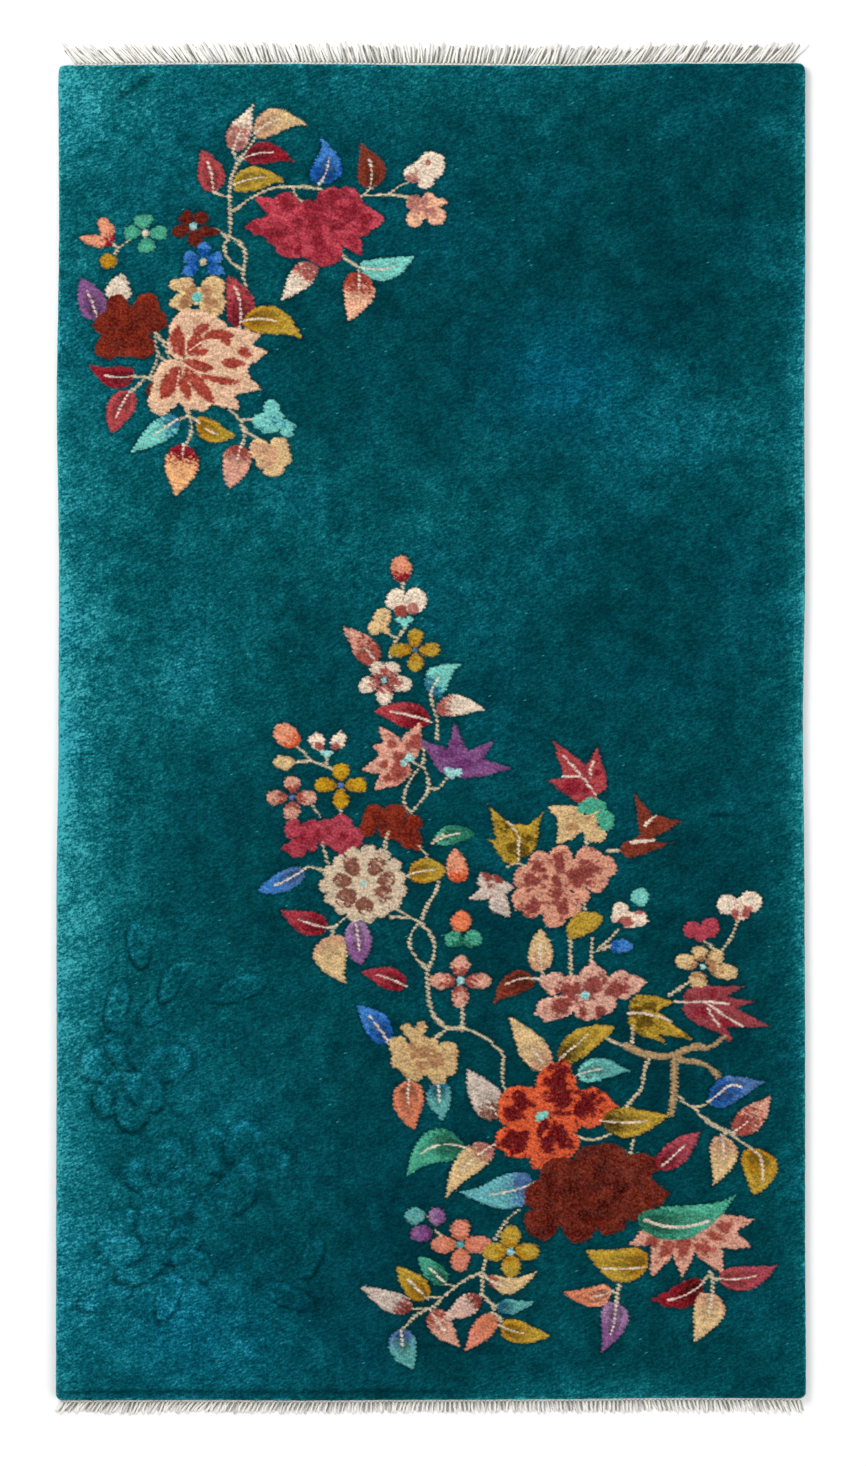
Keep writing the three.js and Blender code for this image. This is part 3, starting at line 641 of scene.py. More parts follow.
    c.stems(
        (3.8, 322.5, 842.5, 325, 851, 330, 865), (4, 388, 832, 386, 842, 385.5, 855),
        (3.2, 419, 846, 426, 853, 429.5, 860), (3.2, 325, 870.5, 315, 867.5, 307, 867, 301, 870),
        (3.2, 346, 917, 338, 924, 333, 927, 326, 927), (3.6, 334, 926, 332.5, 938),
        (4, 355.5, 910, 355.5, 924), (4, 439.5, 880, 436.6, 891, 428, 905, 422, 919),
        (3.6, 391, 916.5, 403, 917, 414.5, 919, 421, 923), (3.6, 399, 909.5, 407, 914.5, 416, 920),
        (3.8, 418.5, 923, 411.7, 933.5, 409.8, 945, 416.5, 958, 428, 969),
        (4, 423, 924, 431.8, 935.5, 434.7, 945, 433.7, 957, 428, 968), (3.6, 400, 875, 410, 876),
    )
    scalloped(c)
    c.leaf((304, 870), (260, 892), 20, "sky_blue", "slate_blue", 0.66, -1, 1, 0.45, 0.6)
    c.leaf((327, 927), (280, 910.5), 23, "crimson_leaf", "crimson", 0.6, -2, 1, 0.5, 0.85)
    c.leaf((331, 936), (343.5, 983.5), 34, "tan_leaf", "dusty_tan", 0, 5, -2, 0.45, 0.95, 0.2)
    c.leaf((356, 921), (361, 964), 26, "purple", "lilac", 0.7, -0.5, 0, 0.5, 0.6)
    c.leaf((405, 985.5), (362.5, 971), 21, "crimson_leaf", "crimson", 0.66, 2, 0, 0.5, 0.8)
    c.leaf((436, 841), (474.5, 832), 17.5, "green", "jade", 0.62, -3, 3, 0.5, 0.6)
    c.stem(((432, 844), (436, 839), (444, 834)), 3.2)
    c.leaf((410, 874), (446, 870), 25, "mustard", "gold_bud", 0.72, -2, 0, 0.5, 0.5)
    c.petal((459, 881.5), (455, 849), 21.5, "salmon", "orange", 0.5, 0.65, 0.28)


def scalloped(c):
    """The round cream bloom: two rows of scalloped petals with umber hearts."""
    middle = (364, 884)
    discs = [(middle[0], middle[1], 30)]
    for angle, reach in (
        (10, 42), (34, 43), (58, 42), (82, 42), (108, 41), (134, 40), (158, 41), (182, 43), (206, 41),
        (230, 39), (254, 41), (278, 41), (302, 40), (328, 42), (350, 43),
    ):
        across = (reach - 7.4) * math.cos(math.radians(angle)) * 1.02
        up = (reach - 7.4) * math.sin(math.radians(angle)) * 0.93
        discs.append((middle[0] + across, middle[1] - up, 7.7))
    w = c.around((middle,), 48)
    field = c.rounds(w, discs) + 1.5 * (lattice(c.u[w] / 5, c.v[w] / 5, 31) - 0.5)
    shade = 0.16 * lattice(c.u[w] / 6, c.v[w] / 6, 22)
    c.paint(w, field, c.tinted(w, c.dither(w, "scallop_cream", "umber", shade)))
    for u, v, long, wide in ((352, 866, 21, 15), (377, 866, 21, 15), (343, 880, 18, 14), (387, 880, 18, 15),
                             (347, 897, 22, 18), (365, 905, 18, 17), (384, 893, 19, 15)):
        away = math.hypot(u - middle[0], v - middle[1])
        du, dv = (u - middle[0]) / away, (v - middle[1]) / away
        base = (u - du * long / 2, v - dv * long / 2)
        tip = (u + du * long / 2, v + dv * long / 2)
        w = c.around((base, tip), wide)
        field, share = c.blade(w, base, tip, wide, 0.7, 0.5)
        hue = c.dither(w, "umber", "scallop_cream", 0.02 + 0.45 * share, 0.9)
        c.paint(w, field + 3.6 * c.grain[w] - 0.6, c.tinted(w, hue), 1, 0.7, 0.4)
    c.dot((364, 882.5), 3, "pale_turquoise")


def right_spray(c):
    """The right-hand spray: three-lobed leaves, the double peony, a star peony and the branch."""
    c.stems(
        (3.6, 587, 832, 587, 847), (3, 596, 795.5, 598, 800), (3.4, 608, 851, 616, 851, 624, 851),
        (4, 582, 897, 585, 907, 585.8, 918), (4.6, 570.5, 938, 570.8, 976),
        (4.4, 592.7, 938, 592, 950, 591.5, 963), (3, 592.5, 953, 600, 950, 612, 946),
        (3, 598, 949.5, 609, 940, 619, 930), (3.8, 738, 921, 731.5, 938, 722.5, 951),
        (3, 704, 943, 711, 947, 716, 953), (3.4, 689, 983.5, 680, 989.5, 669, 996.5),
        (3.2, 541, 967, 543, 973, 548, 979),
    )
    c.bloom(
        ((584, 780, 13.5), (594, 776, 10.5)),
        (((594, 795), (553, 739), 28), ((592, 794), (598.5, 746), 27), ((597, 793), (546.5, 779.5), 26)),
        "rose_red", "peony_dark", ((573, 787, 8), (588, 787, 6), (598, 772, 4)), 0.5, 1.5, 0.25, 1.15,
    )
    c.stems(
        (3.2, 596, 794, 584, 778, 564, 755), (3.2, 581, 776, 563, 776), (3.2, 592, 777, 591, 770, 594, 762),
        wool="rib", comb=0.8,
    )
    c.bloom(
        ((577, 823, 11), (598, 834, 8.5), (567, 825, 9), (590, 822, 9)),
        (((584, 820), (547.5, 806), 20), ((576, 820), (557.5, 843), 20), ((590, 826), (592, 842), 14)),
        "tan_leaf", "gold_tan", ((574, 826, 5), (590, 815, 3)), 0.4, 2,
    )
    c.bloom(((590, 807, 9), (598, 808, 8), (583, 808, 5)), (), "jade", "green", (), 0.3, 1.5)
    c.bloom(((605.5, 819, 8), (607, 824, 7)), (), "jade", "green", (), 0.3, 1.5)
    c.stem(((577, 817), (592, 815), (600, 811)), 3.6, "tan_leaf", 0.8)
    c.bloom(
        ((520, 838, 14), (521, 846, 10)),
        (((520, 858), (489, 803.5), 25), ((518, 854), (543.5, 812.5), 23), ((522, 857), (487, 837.5), 23),
         ((518, 852), (539, 833), 18)),
        "mustard", "olive", ((522, 849, 8), (512, 846, 6), (507, 826, 3), (530, 838, 4)), 0.6, 2, 0.25, 1.2,
    )
    c.stem(((519, 861), (519, 848), (519, 835), (508.5, 820.5)), 3.2, "rib")
    c.bloom(
        ((654, 828, 7),),
        (((655, 838), (636, 795.5), 20), ((644, 829), (683, 822.5), 22), ((652, 822), (640, 845), 12),
         ((621, 851), (675, 844), 16), ((634, 849), (658, 830), 14)),
        "rust", "maroon", ((655, 826, 4), (650, 847, 4)), 0.45, 1.5, 0.25, 1.2,
    )
    c.stem(((646.5, 826), (650, 821.5), (656, 817.5)), 4.4, "rib")
    c.stem(((632.5, 843), (643, 842), (654, 841.5)), 4.4, "rib")
    c.bloom(
        ((541, 862, 12), (561, 858, 12.5), (589, 861, 14.5), (604, 867, 12), (597, 880, 12.5),
         (526, 877, 11.5), (522.5, 899, 11), (532, 909, 9), (555, 916, 11.5), (569, 904, 13), (582, 894, 8),
         (552, 885, 21), (545, 902, 12), (578, 880, 12), (537, 888, 15), (558, 900, 13), (574, 866, 8)), (),
        "peach_pink", "brick_spot",
        ((559.5, 863, 8), (538.5, 867, 6.5), (582, 874, 12.5), (532, 881, 7.5), (557, 881, 5.5),
         (557, 895, 7), (532, 906, 7.5), (562, 908, 7.5), (546, 876, 4)), 0.32, 2.5,
    )
    c.stem(((508.5, 866), (517, 863), (527, 866)), 3)
    c.bloom(
        ((493, 887, 12.5), (497, 895, 9), (486, 880, 8)),
        (((494, 890), (469.5, 898.5), 13), ((494, 894), (510, 917.5), 20), ((490, 888), (514, 888), 16)),
        "mauve_cream", "brick_spot", ((488, 876, 7), (500, 875, 7), (494, 870, 4)), 0.15, 2,
    )
    c.petal((568, 935), (602, 917), 22, "mustard", "mustard", 0.5, 0.45, bend=-3)
    c.bloom(
        ((621, 912, 8.5), (639.5, 919.5, 7), (630, 921, 9), (616, 918, 5)), (((636, 920), (648, 922), 8),),
        "cream", "rose_spot", ((627, 923, 6), (640, 912, 4), (622, 921, 4)), 0.2, 1.5,
    )
    c.dot((640.5, 898), 8.6, "turquoise", 1)
    c.petal((611.5, 946.5), (633.5, 947.5), 13.5, "sky_blue", "deep_blue", 0.5, 0.5, 0.3)
    c.petal((541, 971), (541, 928.5), 24, "tan_leaf", "dusty_tan", 0.5, 0.7, 0.35)
    c.stem(((542, 970), (540, 956), (540, 945)), 3, "rib")
    c.leaf((533, 978), (493.5, 1001), 23, "rust", "maroon", 0, 5, -2, 0.5, 0.85)
    c.stem(((548, 979.5), (530, 978), (517, 979.5), (506, 984)), 3.2, "rib", 0.7)
    c.petal((461, 931.5), (462, 910.5), 19, "orange_bud")
    c.petal((463, 943), (446, 935), 16, "jade", "green", 0.6, 0.4)
    c.petal((463, 943), (481, 935), 16, "jade", "green", 0.6, 0.4)
    c.petals(
        (460.5, 980.5), ((90, 25, 18), (180, 31.5, 16), (0, 31, 15.5), (-90, 27, 17)), "salmon_pink",
        "brick_rose", "pale_turquoise", 4.5, 0.7, 0.5, 0.42, 4,
    )
    c.bloom(
        ((728, 905.5, 10), (751, 902.5, 10.8), (740.5, 911, 10.5), (740, 905, 7)), (), "cream", "rose_spot",
        ((735, 917, 6), (748, 915, 6)), 0.12, 1,
    )
    c.stem(((739.5, 922), (740, 912)), 3.6, "rib", 0.8)
    c.bloom(((692.5, 931, 8.5), (710, 929, 9.5), (701, 935, 7.5)), (), "rose_blob", "peony_dark", (), 0.4, 1)
    c.petals(
        (702.9, 968), ((104, 21.5, 15.5), (38, 25, 15), (164, 28.5, 14.5), (-12, 35, 15), (-110, 22.5, 18)),
        "tan_leaf", "gold_tan", "pale_turquoise", 5, 0.7, 0.42, 0.35, 3.4,
    )
    c.bloom(
        ((593, 978, 13.5), (620, 983, 11.5), (555, 984, 11.5), (549, 1009, 12), (563, 1005, 12.5),
         (586, 1005, 15), (604, 1002, 13), (575, 990, 15), (608, 990, 13)),
        (((593, 986), (592.8, 961.5), 26), ((612, 988), (646, 983.5), 26), ((552, 990), (541, 974), 14),
         ((554, 1008), (534, 1014.5), 14), ((598, 1004), (597, 1020), 12)), "pale_pink", "brick_spot",
        ((569, 990.5, 9), (592.5, 986, 9.5), (616, 990, 8.5), (560, 1006, 8.5), (583, 1014, 5),
         (600, 1012, 5)), 0.3, 2.5,
    )
    c.dot((585, 995.5), 4.2, "pale_turquoise")
    c.bloom(
        ((645, 1013, 11.5), (643, 1009, 10.5)),
        (((630, 1008), (677, 1003), 21), ((630, 1013), (693, 1041), 23), ((632, 1016), (665, 1045), 21),
         ((640, 1004), (648, 996), 15)), "mustard", "olive",
        ((636, 1012, 7), (648, 1021, 6), (640, 1024, 5), (650, 1008, 4)), 0.6, 1.5, 0.25, 1.15,
    )
    c.stem(((628, 1014.5), (640, 1014), (655, 1017), (671, 1023)), 3.4, "rib")
    c.bloom(
        ((705, 1007, 10.5), (716, 1016, 12)),
        (((684, 1003), (743, 988), 22), ((690, 1007), (756, 1003), 21), ((694, 1009), (771, 1028.5), 25),
         ((704, 1010), (732, 1044), 20), ((686, 1004), (717, 1036), 17)),
        "maple_rose", "peony_dark", ((700, 1013, 6), (726, 1024, 6), (712, 996, 4)), 0.45, 1.5, 0.25, 1.15,
    )
    c.stems(
        (3.8, 674, 1003, 690, 1003.5, 706, 1003, 729, 1005), (3.8, 705, 1004, 722, 1015, 742, 1028),
        (3.8, 708, 1010, 713, 1019, 719, 1027), wool="rib", comb=0.8,
    )
    branch(c)


def branch(c):
    """The thick brown branch with its twigs and the leaves on them."""
    c.stems(
        (4, 604, 1036, 614, 1043, 628, 1047.5), (4, 632.5, 1027, 632.5, 1043),
    )
    c.stems(
        (8.5, 626, 1046.5, 638, 1052.5, 648, 1056.5),
        (8.5, 646, 1056, 660, 1057, 671, 1057, 681.5, 1053, 694, 1048.5, 704, 1049),
        (5.5, 703, 1049, 712, 1047.5, 724.5, 1038),
        (7.5, 676, 1060, 684, 1062, 696, 1063.5, 708, 1067.5, 717.5, 1077),
        (8.6, 674, 1056, 674, 1072, 673.5, 1086, 673, 1100, 670.5, 1116), wool="branch",
    )
    c.stems(
        (4.2, 650, 1058, 645.5, 1067, 643, 1078, 641, 1090, 633, 1099, 626, 1108),
    )
    c.stems(
        (3.6, 679, 1099, 692, 1108, 706.5, 1106), (4.2, 692, 1108, 704, 1120, 716, 1127.5, 728, 1133),
        (3.6, 726, 1132, 722.5, 1142), (4, 728, 1132, 739, 1142, 750, 1149.5),
        (3.4, 576, 1136, 588.5, 1140, 600, 1138.5, 612, 1134), (4.4, 633, 1140, 630.5, 1154),
    )
    c.leaf((709, 1103), (763, 1082), 27, "slate_blue", "royal_blue", 0, -4, 2, 0.6, 0.95, 0.5)
    c.stem(((708, 1103), (721, 1093), (730, 1086.5), (741, 1088)), 3.8, "rib", 0.8)
    c.leaf((734, 1133), (772, 1099.5), 25, "salmon_pink", "brick_rose", 0.34, 1.5, -3, 0.5, 0.75, 0.5)
    c.leaf((721.5, 1138), (714, 1187.5), 27, "tan_leaf", "dusty_tan", 0.45, -5, 2, 0.5, 0.95, 0.3)
    c.leaf((751, 1150), (756.5, 1197), 34, "mustard", "gold_bud", 0, -7, 3, 0.5, 0.7, 0.4)
    c.stem(((748, 1148), (759, 1156), (762, 1168), (762.5, 1182)), 3.6, "rib", 0.8)


def lower_spray(c):
    """The lower spray: the tan flower, the orange and the maroon blooms, and the leaves under them."""
    c.stems(
        (4.2, 427, 968, 428, 985, 430, 1004, 435.5, 1017.5, 447, 1028), (4, 446, 1028, 455, 1028, 463, 1028),
        (4.4, 462.5, 1006, 462.5, 1029), (3.6, 447, 1029, 441, 1033.5, 431, 1040),
        (4, 462, 1028, 474, 1031.5, 485.5, 1037.5, 497, 1048, 503.5, 1056, 502.5, 1067, 502.5, 1080,
         505.5, 1091),
    )
    c.leaf((388, 1041), (359, 1004), 25, "sky_blue", "deep_blue", 0.66, 1.5, -2, 0.5, 0.8)
    c.bloom(
        ((407.5, 1029, 5.5), (421, 1026.5, 6.2), (414.5, 1034, 8), (399.5, 1046, 10.5), (403, 1060, 11),
         (414, 1071, 10.5), (423, 1056, 20), (447, 1052, 11), (447.5, 1066, 10), (437, 1075, 9.5),
         (439.5, 1082, 5.5)), (((404, 1030), (401, 1024.5), 6),), "tan_flower", "gold_tan",
        ((422, 1052, 8), (412, 1046, 5), (436, 1060, 7), (420, 1066, 5)), 0.55, 3,
    )
    c.leaf((409, 1081), (412, 1130), 31, "orange_leaf", "orange_leaf", 0.45, 2, -2, 0.5, 0.85)
    c.leaf((438, 1083), (442.5, 1120), 24, "turquoise_dull", "river_blue", 0.5, 0.5, 0, 0.5, 0.8, 0.25)
    c.leaf((548, 1070), (509, 1017), 27, "tan_leaf", "dusty_tan", 0.42, 0, 1, 0.5, 0.85, 0.28)
    c.leaf((559, 1061), (613.5, 1026), 26, "mustard", "olive", 0, -4, 2, 0.55, 0.7, 0.25)
    c.stem(((558, 1062), (566, 1053), (577, 1044), (587, 1035)), 2.6, "rib")
    c.leaf((578, 1075), (629, 1069), 23, "turquoise_dull", "turquoise", 0.46, -3, 3, 0.55, 0.95, 0.3)
    c.leaf((499, 1117), (466.5, 1070), 31, "mauve_cream", "umber", 0.34, 0, 1, 0.5, 0.8, 0.26)
    c.bloom(
        ((556, 1082, 19.5), (562, 1070, 9), (519, 1105, 20.5), (508, 1114, 11), (590, 1108, 20),
         (516, 1142, 16.5), (508, 1140, 13), (549, 1142, 20), (541, 1159, 10.5), (569, 1143, 11),
         (541, 1117, 21), (570, 1100, 14), (573, 1123, 9), (544, 1092, 9), (571, 1112, 10), (514, 1124, 7),
         (531, 1150, 8), (562, 1124, 8), (566, 1149, 10)),
        (((558, 1076), (562, 1058.5), 16), ((592, 1108), (616, 1107.5), 26)), "orange", "blood",
        ((557, 1081, 12), (563, 1100, 10), (521, 1101, 9), (513, 1114, 8), (584, 1107, 12), (588, 1098, 7),
         (512, 1138, 9), (519, 1146, 7), (524, 1133, 4), (560, 1136, 11), (548, 1144, 7), (543, 1127, 6)),
        0.12, 2.5,
    )
    c.bloom(((540, 1117, 4.6), (545, 1115, 3.2)), (), "turquoise", "turquoise", ())
    c.leaf((603, 1121.5), (674, 1117), 31, "mustard", "olive", 0.6, 4, -3, 0.6, 1.2, 0.2)
    c.leaf((465, 1147), (404.5, 1167), 34, "jade", "green", 0.66, 11, -9, 0.5, 0.75, 0.35)
    c.leaf((492, 1145.5), (445, 1194.5), 26, "tan_leaf", "dusty_rose", 0.55, 5, -3, 0.5, 0.85, 0.22)
    c.leaf((532, 1184), (456, 1194.5), 35, "sea_blue", "slate_blue", 0.55, -5, 4, 0.5, 1.2, 0.26)
    c.bloom(
        ((594, 1192, 39), (608, 1163, 19), (560, 1178, 21), (541, 1196, 16), (560, 1207, 17),
         (543, 1222, 17.5), (578, 1226, 17), (611, 1219, 16), (633, 1207, 15), (634, 1176, 18),
         (590, 1163, 17)), (((626, 1198), (670, 1195.5), 40), ((628, 1168), (664, 1165), 26)), "maroon",
        "deep_maroon",
        ((600, 1170, 7), (570, 1190, 6), (620, 1190, 6), (585, 1215, 6), (548, 1205, 5), (604, 1205, 5)),
        0.8, 3, 0.35, 0.8, 30,
    )
    c.leaf((658, 1168.5), (697, 1131.5), 24, "heart_rose", "peony_dark", 0, 2, 3, 0.55, 0.75, 0.3)
    c.stem(((662, 1167), (673, 1157.5), (684, 1147)), 3.2, "rib", 0.8)
    c.bloom(
        ((683, 1232, 15),),
        (((672, 1228), (628.5, 1246), 20), ((672, 1226), (652, 1278), 26), ((684, 1228), (682, 1280), 24),
         ((696, 1228), (722.5, 1274), 28), ((700, 1230), (750.5, 1248.5), 24),
         ((700, 1232), (753.5, 1220.5), 22)), "salmon_pink", "brick_rose",
        ((652, 1243, 6), (665, 1252, 7), (684, 1248, 8), (703, 1250, 7), (714, 1238, 6), (724, 1228, 6)),
        0.2, 1.5,
    )
    c.leaf((638, 1222), (737, 1202), 34, "jade", "green", 0, 11, -6, 0.55, 0.9, 0.28)
    c.stem(((645, 1221), (662, 1227), (682, 1228.5), (697, 1226), (709, 1222.5)), 4.6, "rib", 0.6)
    c.stems(
        (5, 709.5, 1273, 712, 1280, 712, 1288, 711.5, 1297), (3.4, 708, 1277, 700, 1286.5),
        (3.8, 712, 1280, 722, 1281), (4, 619.5, 1285, 616.8, 1296, 616.5, 1306),
        (3.8, 617, 1293.5, 609, 1293.5),
    )
    c.leaf((648, 1262), (585.5, 1256.5), 34, "mustard", "gold_bud", 0, -7, 7, 0.5, 0.75, 0.25)
    c.stem(((643, 1268.5), (625, 1270), (602, 1269)), 3.4, "rib", 0.6)
    c.leaf((611, 1292.5), (563, 1295), 21, "orange_leaf", "salmon", 0.4, -4, 4, 0.5, 0.95)
    c.leaf((616, 1304), (602.5, 1354), 27, "purple", "lilac", 0.62, -3, 2, 0.5, 1.1)
    c.leaf((702, 1285), (652, 1304), 25, "crimson", "blood", 0.7, -5, 4, 0.5, 0.85)
    c.leaf((711.5, 1295), (695.5, 1343.5), 31, "tan_leaf", "dusty_tan", 0.4, -3, 2, 0.5, 1, 0.3)
    c.leaf((719, 1280), (777.5, 1270), 24, "heart_rose", "rose_red", 0.62, 4, -4, 0.5, 0.8)
    bottom_sprig(c)


def bottom_sprig(c):
    """The small sprig at the bottom: buds, two plain blossoms and ten little leaves."""
    c.stems(
        (3.6, 519, 1209.5, 506.5, 1221, 495, 1239), (3.2, 435.5, 1229.5, 442, 1236.5),
        (2.6, 426, 1216, 432, 1216), (4.2, 486.5, 1259, 482.5, 1273, 482.5, 1285, 481.5, 1296),
        (3.6, 482, 1272, 468, 1278, 455, 1287, 443, 1297, 432, 1307, 416.5, 1315, 401, 1331),
        (3.4, 455, 1286.5, 441.5, 1282), (3.2, 440, 1297, 431, 1297, 424, 1296.5),
        (3.2, 428, 1308, 418, 1308.5, 400, 1307), (3.4, 433.5, 1305, 437, 1317),
        (3.4, 481.5, 1294, 472, 1303), (3.8, 481.5, 1294, 493, 1305.5, 491.5, 1316),
        (3.6, 494, 1313, 506.5, 1325), (3.4, 484, 1275, 492, 1280), (3.2, 492, 1306, 499, 1306),
    )
    c.petal((425.5, 1215.5), (405.5, 1215), 17, "turquoise_dull")
    c.petal((429, 1216.5), (445.5, 1216.5), 17, "purple", "lilac")
    c.petal((433, 1233.5), (410.5, 1233), 16, "purple", "plum")
    c.petals(
        (460.5, 1244.3), ((90, 25.5, 19), (180, 29, 17), (0, 31, 17), (-90, 27, 18)), "orange_peach",
        "orange_leaf", "turquoise_dull", 4, 0.6, 0.45, 0.3, 3.6,
    )
    c.petals(
        (511, 1251.8), ((90, 26, 19.5), (180, 28, 18), (0, 28.5, 18), (-90, 25.5, 19)), "mustard",
        "gold_bud", "pale_turquoise", 4, 0.6, 0.45, 0.3, 4,
    )
    for base, tip, wide, wool, root_wool, rib, bend, hook, reach in (
        ((446, 1283), (418.5, 1256.5), 19, "jade", "green", 0.6, 0, 0, 0.42),
        ((427, 1298), (396.5, 1266), 23, "mustard", "gold_bud", 0.62, 0, 0, 0.42),
        ((412, 1308), (362, 1286), 20, "mauve_cream", "brick_spot", 0, -2, 0, 0.24),
        ((401.5, 1329), (410, 1371), 27, "turquoise_dull", "slate_blue", 0.4, 2, -3, 0.3),
        ((431, 1311.5), (459, 1346.5), 22, "salmon_pink", "brick_rose", 0.5, 1, 0, 0.26),
        ((480.5, 1297), (442.5, 1319.5), 20, "blush", "brick_spot", 0, 0, 0, 0.2),
        ((494, 1316), (465, 1351), 20, "orange_peach", "orange_leaf", 0, 0, 0, 0.42),
        ((501, 1326), (549.5, 1336), 22, "mustard", "gold_bud", 0.45, 3, 0, 0.42),
        ((498, 1306.5), (532, 1304.5), 15, "turquoise_dull", "river_blue", 0, 1, -2, 0.3),
        ((488, 1279), (536, 1276), 17, "tan_leaf", "brick_rose", 0.3, 8, -4, 0.14),
    ):
        c.leaf(base, tip, wide, wool, root_wool, rib, bend, hook, 0.5, 0.8, reach)


def draw_design(c):
    top_left_spray(c)
    centre_spray(c)
    right_spray(c)
    lower_spray(c)


# ---- the shape of the pile

# How far each edge wanders out of a straight line, at even steps along it, in millimetres.
RIGHT_WANDER = (0.4, 0.6, -0.4, 0.3, -1.8, -0.2, 0.5, 0.4, 1.2)
TOP_WANDER = (-1, 0.2, 0.4, -0.6, -1.4, 0.8, 1.2)
LEFT_WANDER = (-1.2, -1.8, 0.4, -1.6, -1.2, 0.8, 0.6, 1.1, 1.4)
BOTTOM_WANDER = (0.8, 0.4, 1, 0.2, -0.4, -1.6, -1.2)
MIDDLE_SHIFT = -3.5  # the pile's middle from the rug's own middle, fringes included
HALF_WIDE = PILE_WIDE / 2
HALF_LONG = PILE_LONG / 2

# The rounded edge from the face down to the floor: how far in from the outline, and the height.
EDGE_SECTION = (
    (3.3, 11.05), (2.2, 10.7), (1.25, 10.1), (0.55, 9.2), (0.12, 8), (0, 6.6), (0.45, 4.6), (1.1, 3),
    (1.1, 0),
)
PILE_RINGS = 7  # the rings of the edge that are pile; those below them are the woven base

# The self-coloured spray, carved with no change of colour in the lower left: (u, v, long, wide, turn).
CARVED_SPRAY = (
    (116, 1064, 31, 20, 172), (124, 1044, 24, 17, 120), (152, 1042, 26, 18, 62), (168, 1062, 24, 17, 10),
    (116, 1092, 24, 17, 220), (134, 1106, 24, 16, 262), (146, 1090, 22, 16, 310), (118, 1004, 24, 10, 75),
    (159, 1009, 22, 10, 40), (174, 980, 22, 9, 60), (139, 944, 23, 10, 100), (240, 988, 25, 11, 20),
    (152, 1180, 30, 17, 150), (168, 1162, 25, 16, 80), (186, 1182, 25, 15, 20), (166, 1200, 31, 14, 0),
    (214, 1148, 25, 17, 120), (246, 1142, 25, 17, 65), (266, 1162, 25, 16, 15), (240, 1186, 27, 18, 250),
    (216, 1204, 23, 14, 215), (120, 1222, 19, 11, 30), (154, 1224, 23, 16, 95), (180, 1244, 23, 16, 35),
    (192, 1262, 22, 14, 330), (144, 1262, 25, 16, 215), (122, 1248, 22, 14, 170), (170, 1296, 25, 10, 250),
    (106, 1298, 24, 10, 200), (286, 1294, 26, 10, 340), (312, 1256, 20, 9, 70),
)

# Pressed lines in the pile: (from u, from v, to u, to v, depth, width).
CREASES = (
    (117, 97, 132, 89, 1.6, 3), (132, 89, 148, 76, 1.6, 3), (712, 816, 764, 814, 1.2, 1.7),
    (60, 1390, 450, 1391.5, 1, 2.4),
)

# Painted sheen and shade on the ground, where the pile leans to the light or away from it: (u, v, reach
# across, reach along, amount, blueness).
NAP_SHEEN = (
    (50, 760, 62, 360, 0.32, 0.1), (50, 700, 190, 900, 0.15, 0), (50, 1250, 60, 260, 0.15, 0.1),
    (55, 70, 110, 110, 0.36, 0), (400, 70, 220, 70, 0.2, 0), (200, 680, 90, 70, 0.17, 0),
    (95, 890, 60, 60, 0.12, 0), (420, 530, 220, 100, 0.15, 0), (560, 370, 90, 60, 0.14, 0.7),
    (690, 430, 80, 60, 0.19, 0.1), (240, 490, 90, 50, 0.06, 0), (812, 600, 50, 520, 0.22, 0),
    (806, 700, 13, 700, 0.28, 0), (57, 740, 12, 700, 0.16, 0), (180, 1190, 130, 130, 0.1, 0.2),
    (200, 1340, 140, 70, 0.15, 0.6), (620, 1395, 90, 22, 0.22, 0), (640, 1090, 140, 80, -0.1, 0),
    (410, 1250, 70, 130, -0.17, 0), (520, 950, 120, 100, -0.05, 0), (620, 560, 110, 90, -0.06, 0),
    (795, 550, 30, 260, -0.06, 0), (570, 385, 50, 60, 0.08, 0.3), (760, 1360, 50, 40, 0.07, 0.1),
    (480, 1393, 120, 10, 0.1, 0),
)


# The pieces the sprays are knotted as, with what each holds: (piece, low u, low v, high u, high v).
SPRAYS = (
    ("spray_upper", 40, 60, 480, 530),
    ("carved_spray", 40, 900, 335, 1400),
    ("spray_middle", 240, 530, 530, 812),
    ("sprig_bottom", 335, 1190, 612, 1400),
    ("spray_middle_low", 240, 812, 505, 1190),
    ("spray_right", 505, 700, 800, 950),
    ("spray_right_low", 505, 950, 800, 1065),
    ("spray_lower", 505, 1065, 800, 1400),
)

FLOOR_OF_POCKET = 7.6  # where the ground lies under a spray's knots, in millimetres
BACK_OF_SPRAY = 7.9


def eased(entries, share):
    """A value between evenly spaced entries, with no corners."""
    entries = np.asarray(entries)
    along = np.clip(share, 0, 1) * (len(entries) - 1)
    first = np.minimum(np.floor(along).astype(int), len(entries) - 2)
    return blend(entries[first], entries[first + 1], smooth(along - first, 0, 1))


def wandered(x, y):
    """Places on the plain rectangle moved to where the uneven edges put them, in millimetres."""
    across = (x + HALF_WIDE) / PILE_WIDE
    down = (HALF_LONG - y) / PILE_LONG
    right = eased(RIGHT_WANDER, down) * across - eased(LEFT_WANDER, down) * (1 - across)
    up = eased(TOP_WANDER, across) * (1 - down) - eased(BOTTOM_WANDER, across) * down
    return x + right, y + up + MIDDLE_SHIFT


def rounded(x, y, half_wide, half_long, radius):
    """Moves a rectangle's corner regions onto round corners."""
    over_x = np.abs(x) - (half_wide - radius)
    over_y = np.abs(y) - (half_long - radius)
    corner = (over_x > 0) & (over_y > 0)
    scale = np.maximum(over_x, over_y) / np.maximum(np.hypot(over_x, over_y), 1e-9)
    round_x = np.sign(x) * (half_wide - radius + over_x * scale)
    round_y = np.sign(y) * (half_long - radius + over_y * scale)
    return np.where(corner, round_x, x), np.where(corner, round_y, y)


def facing(face):
    """Which way a grid of points faces, point by point."""
    right = np.gradient(face, axis=1)
    up = -np.gradient(face, axis=0)
    normal = np.cross(right, up)
    return normal / np.linalg.norm(normal, axis=2, keepdims=True)


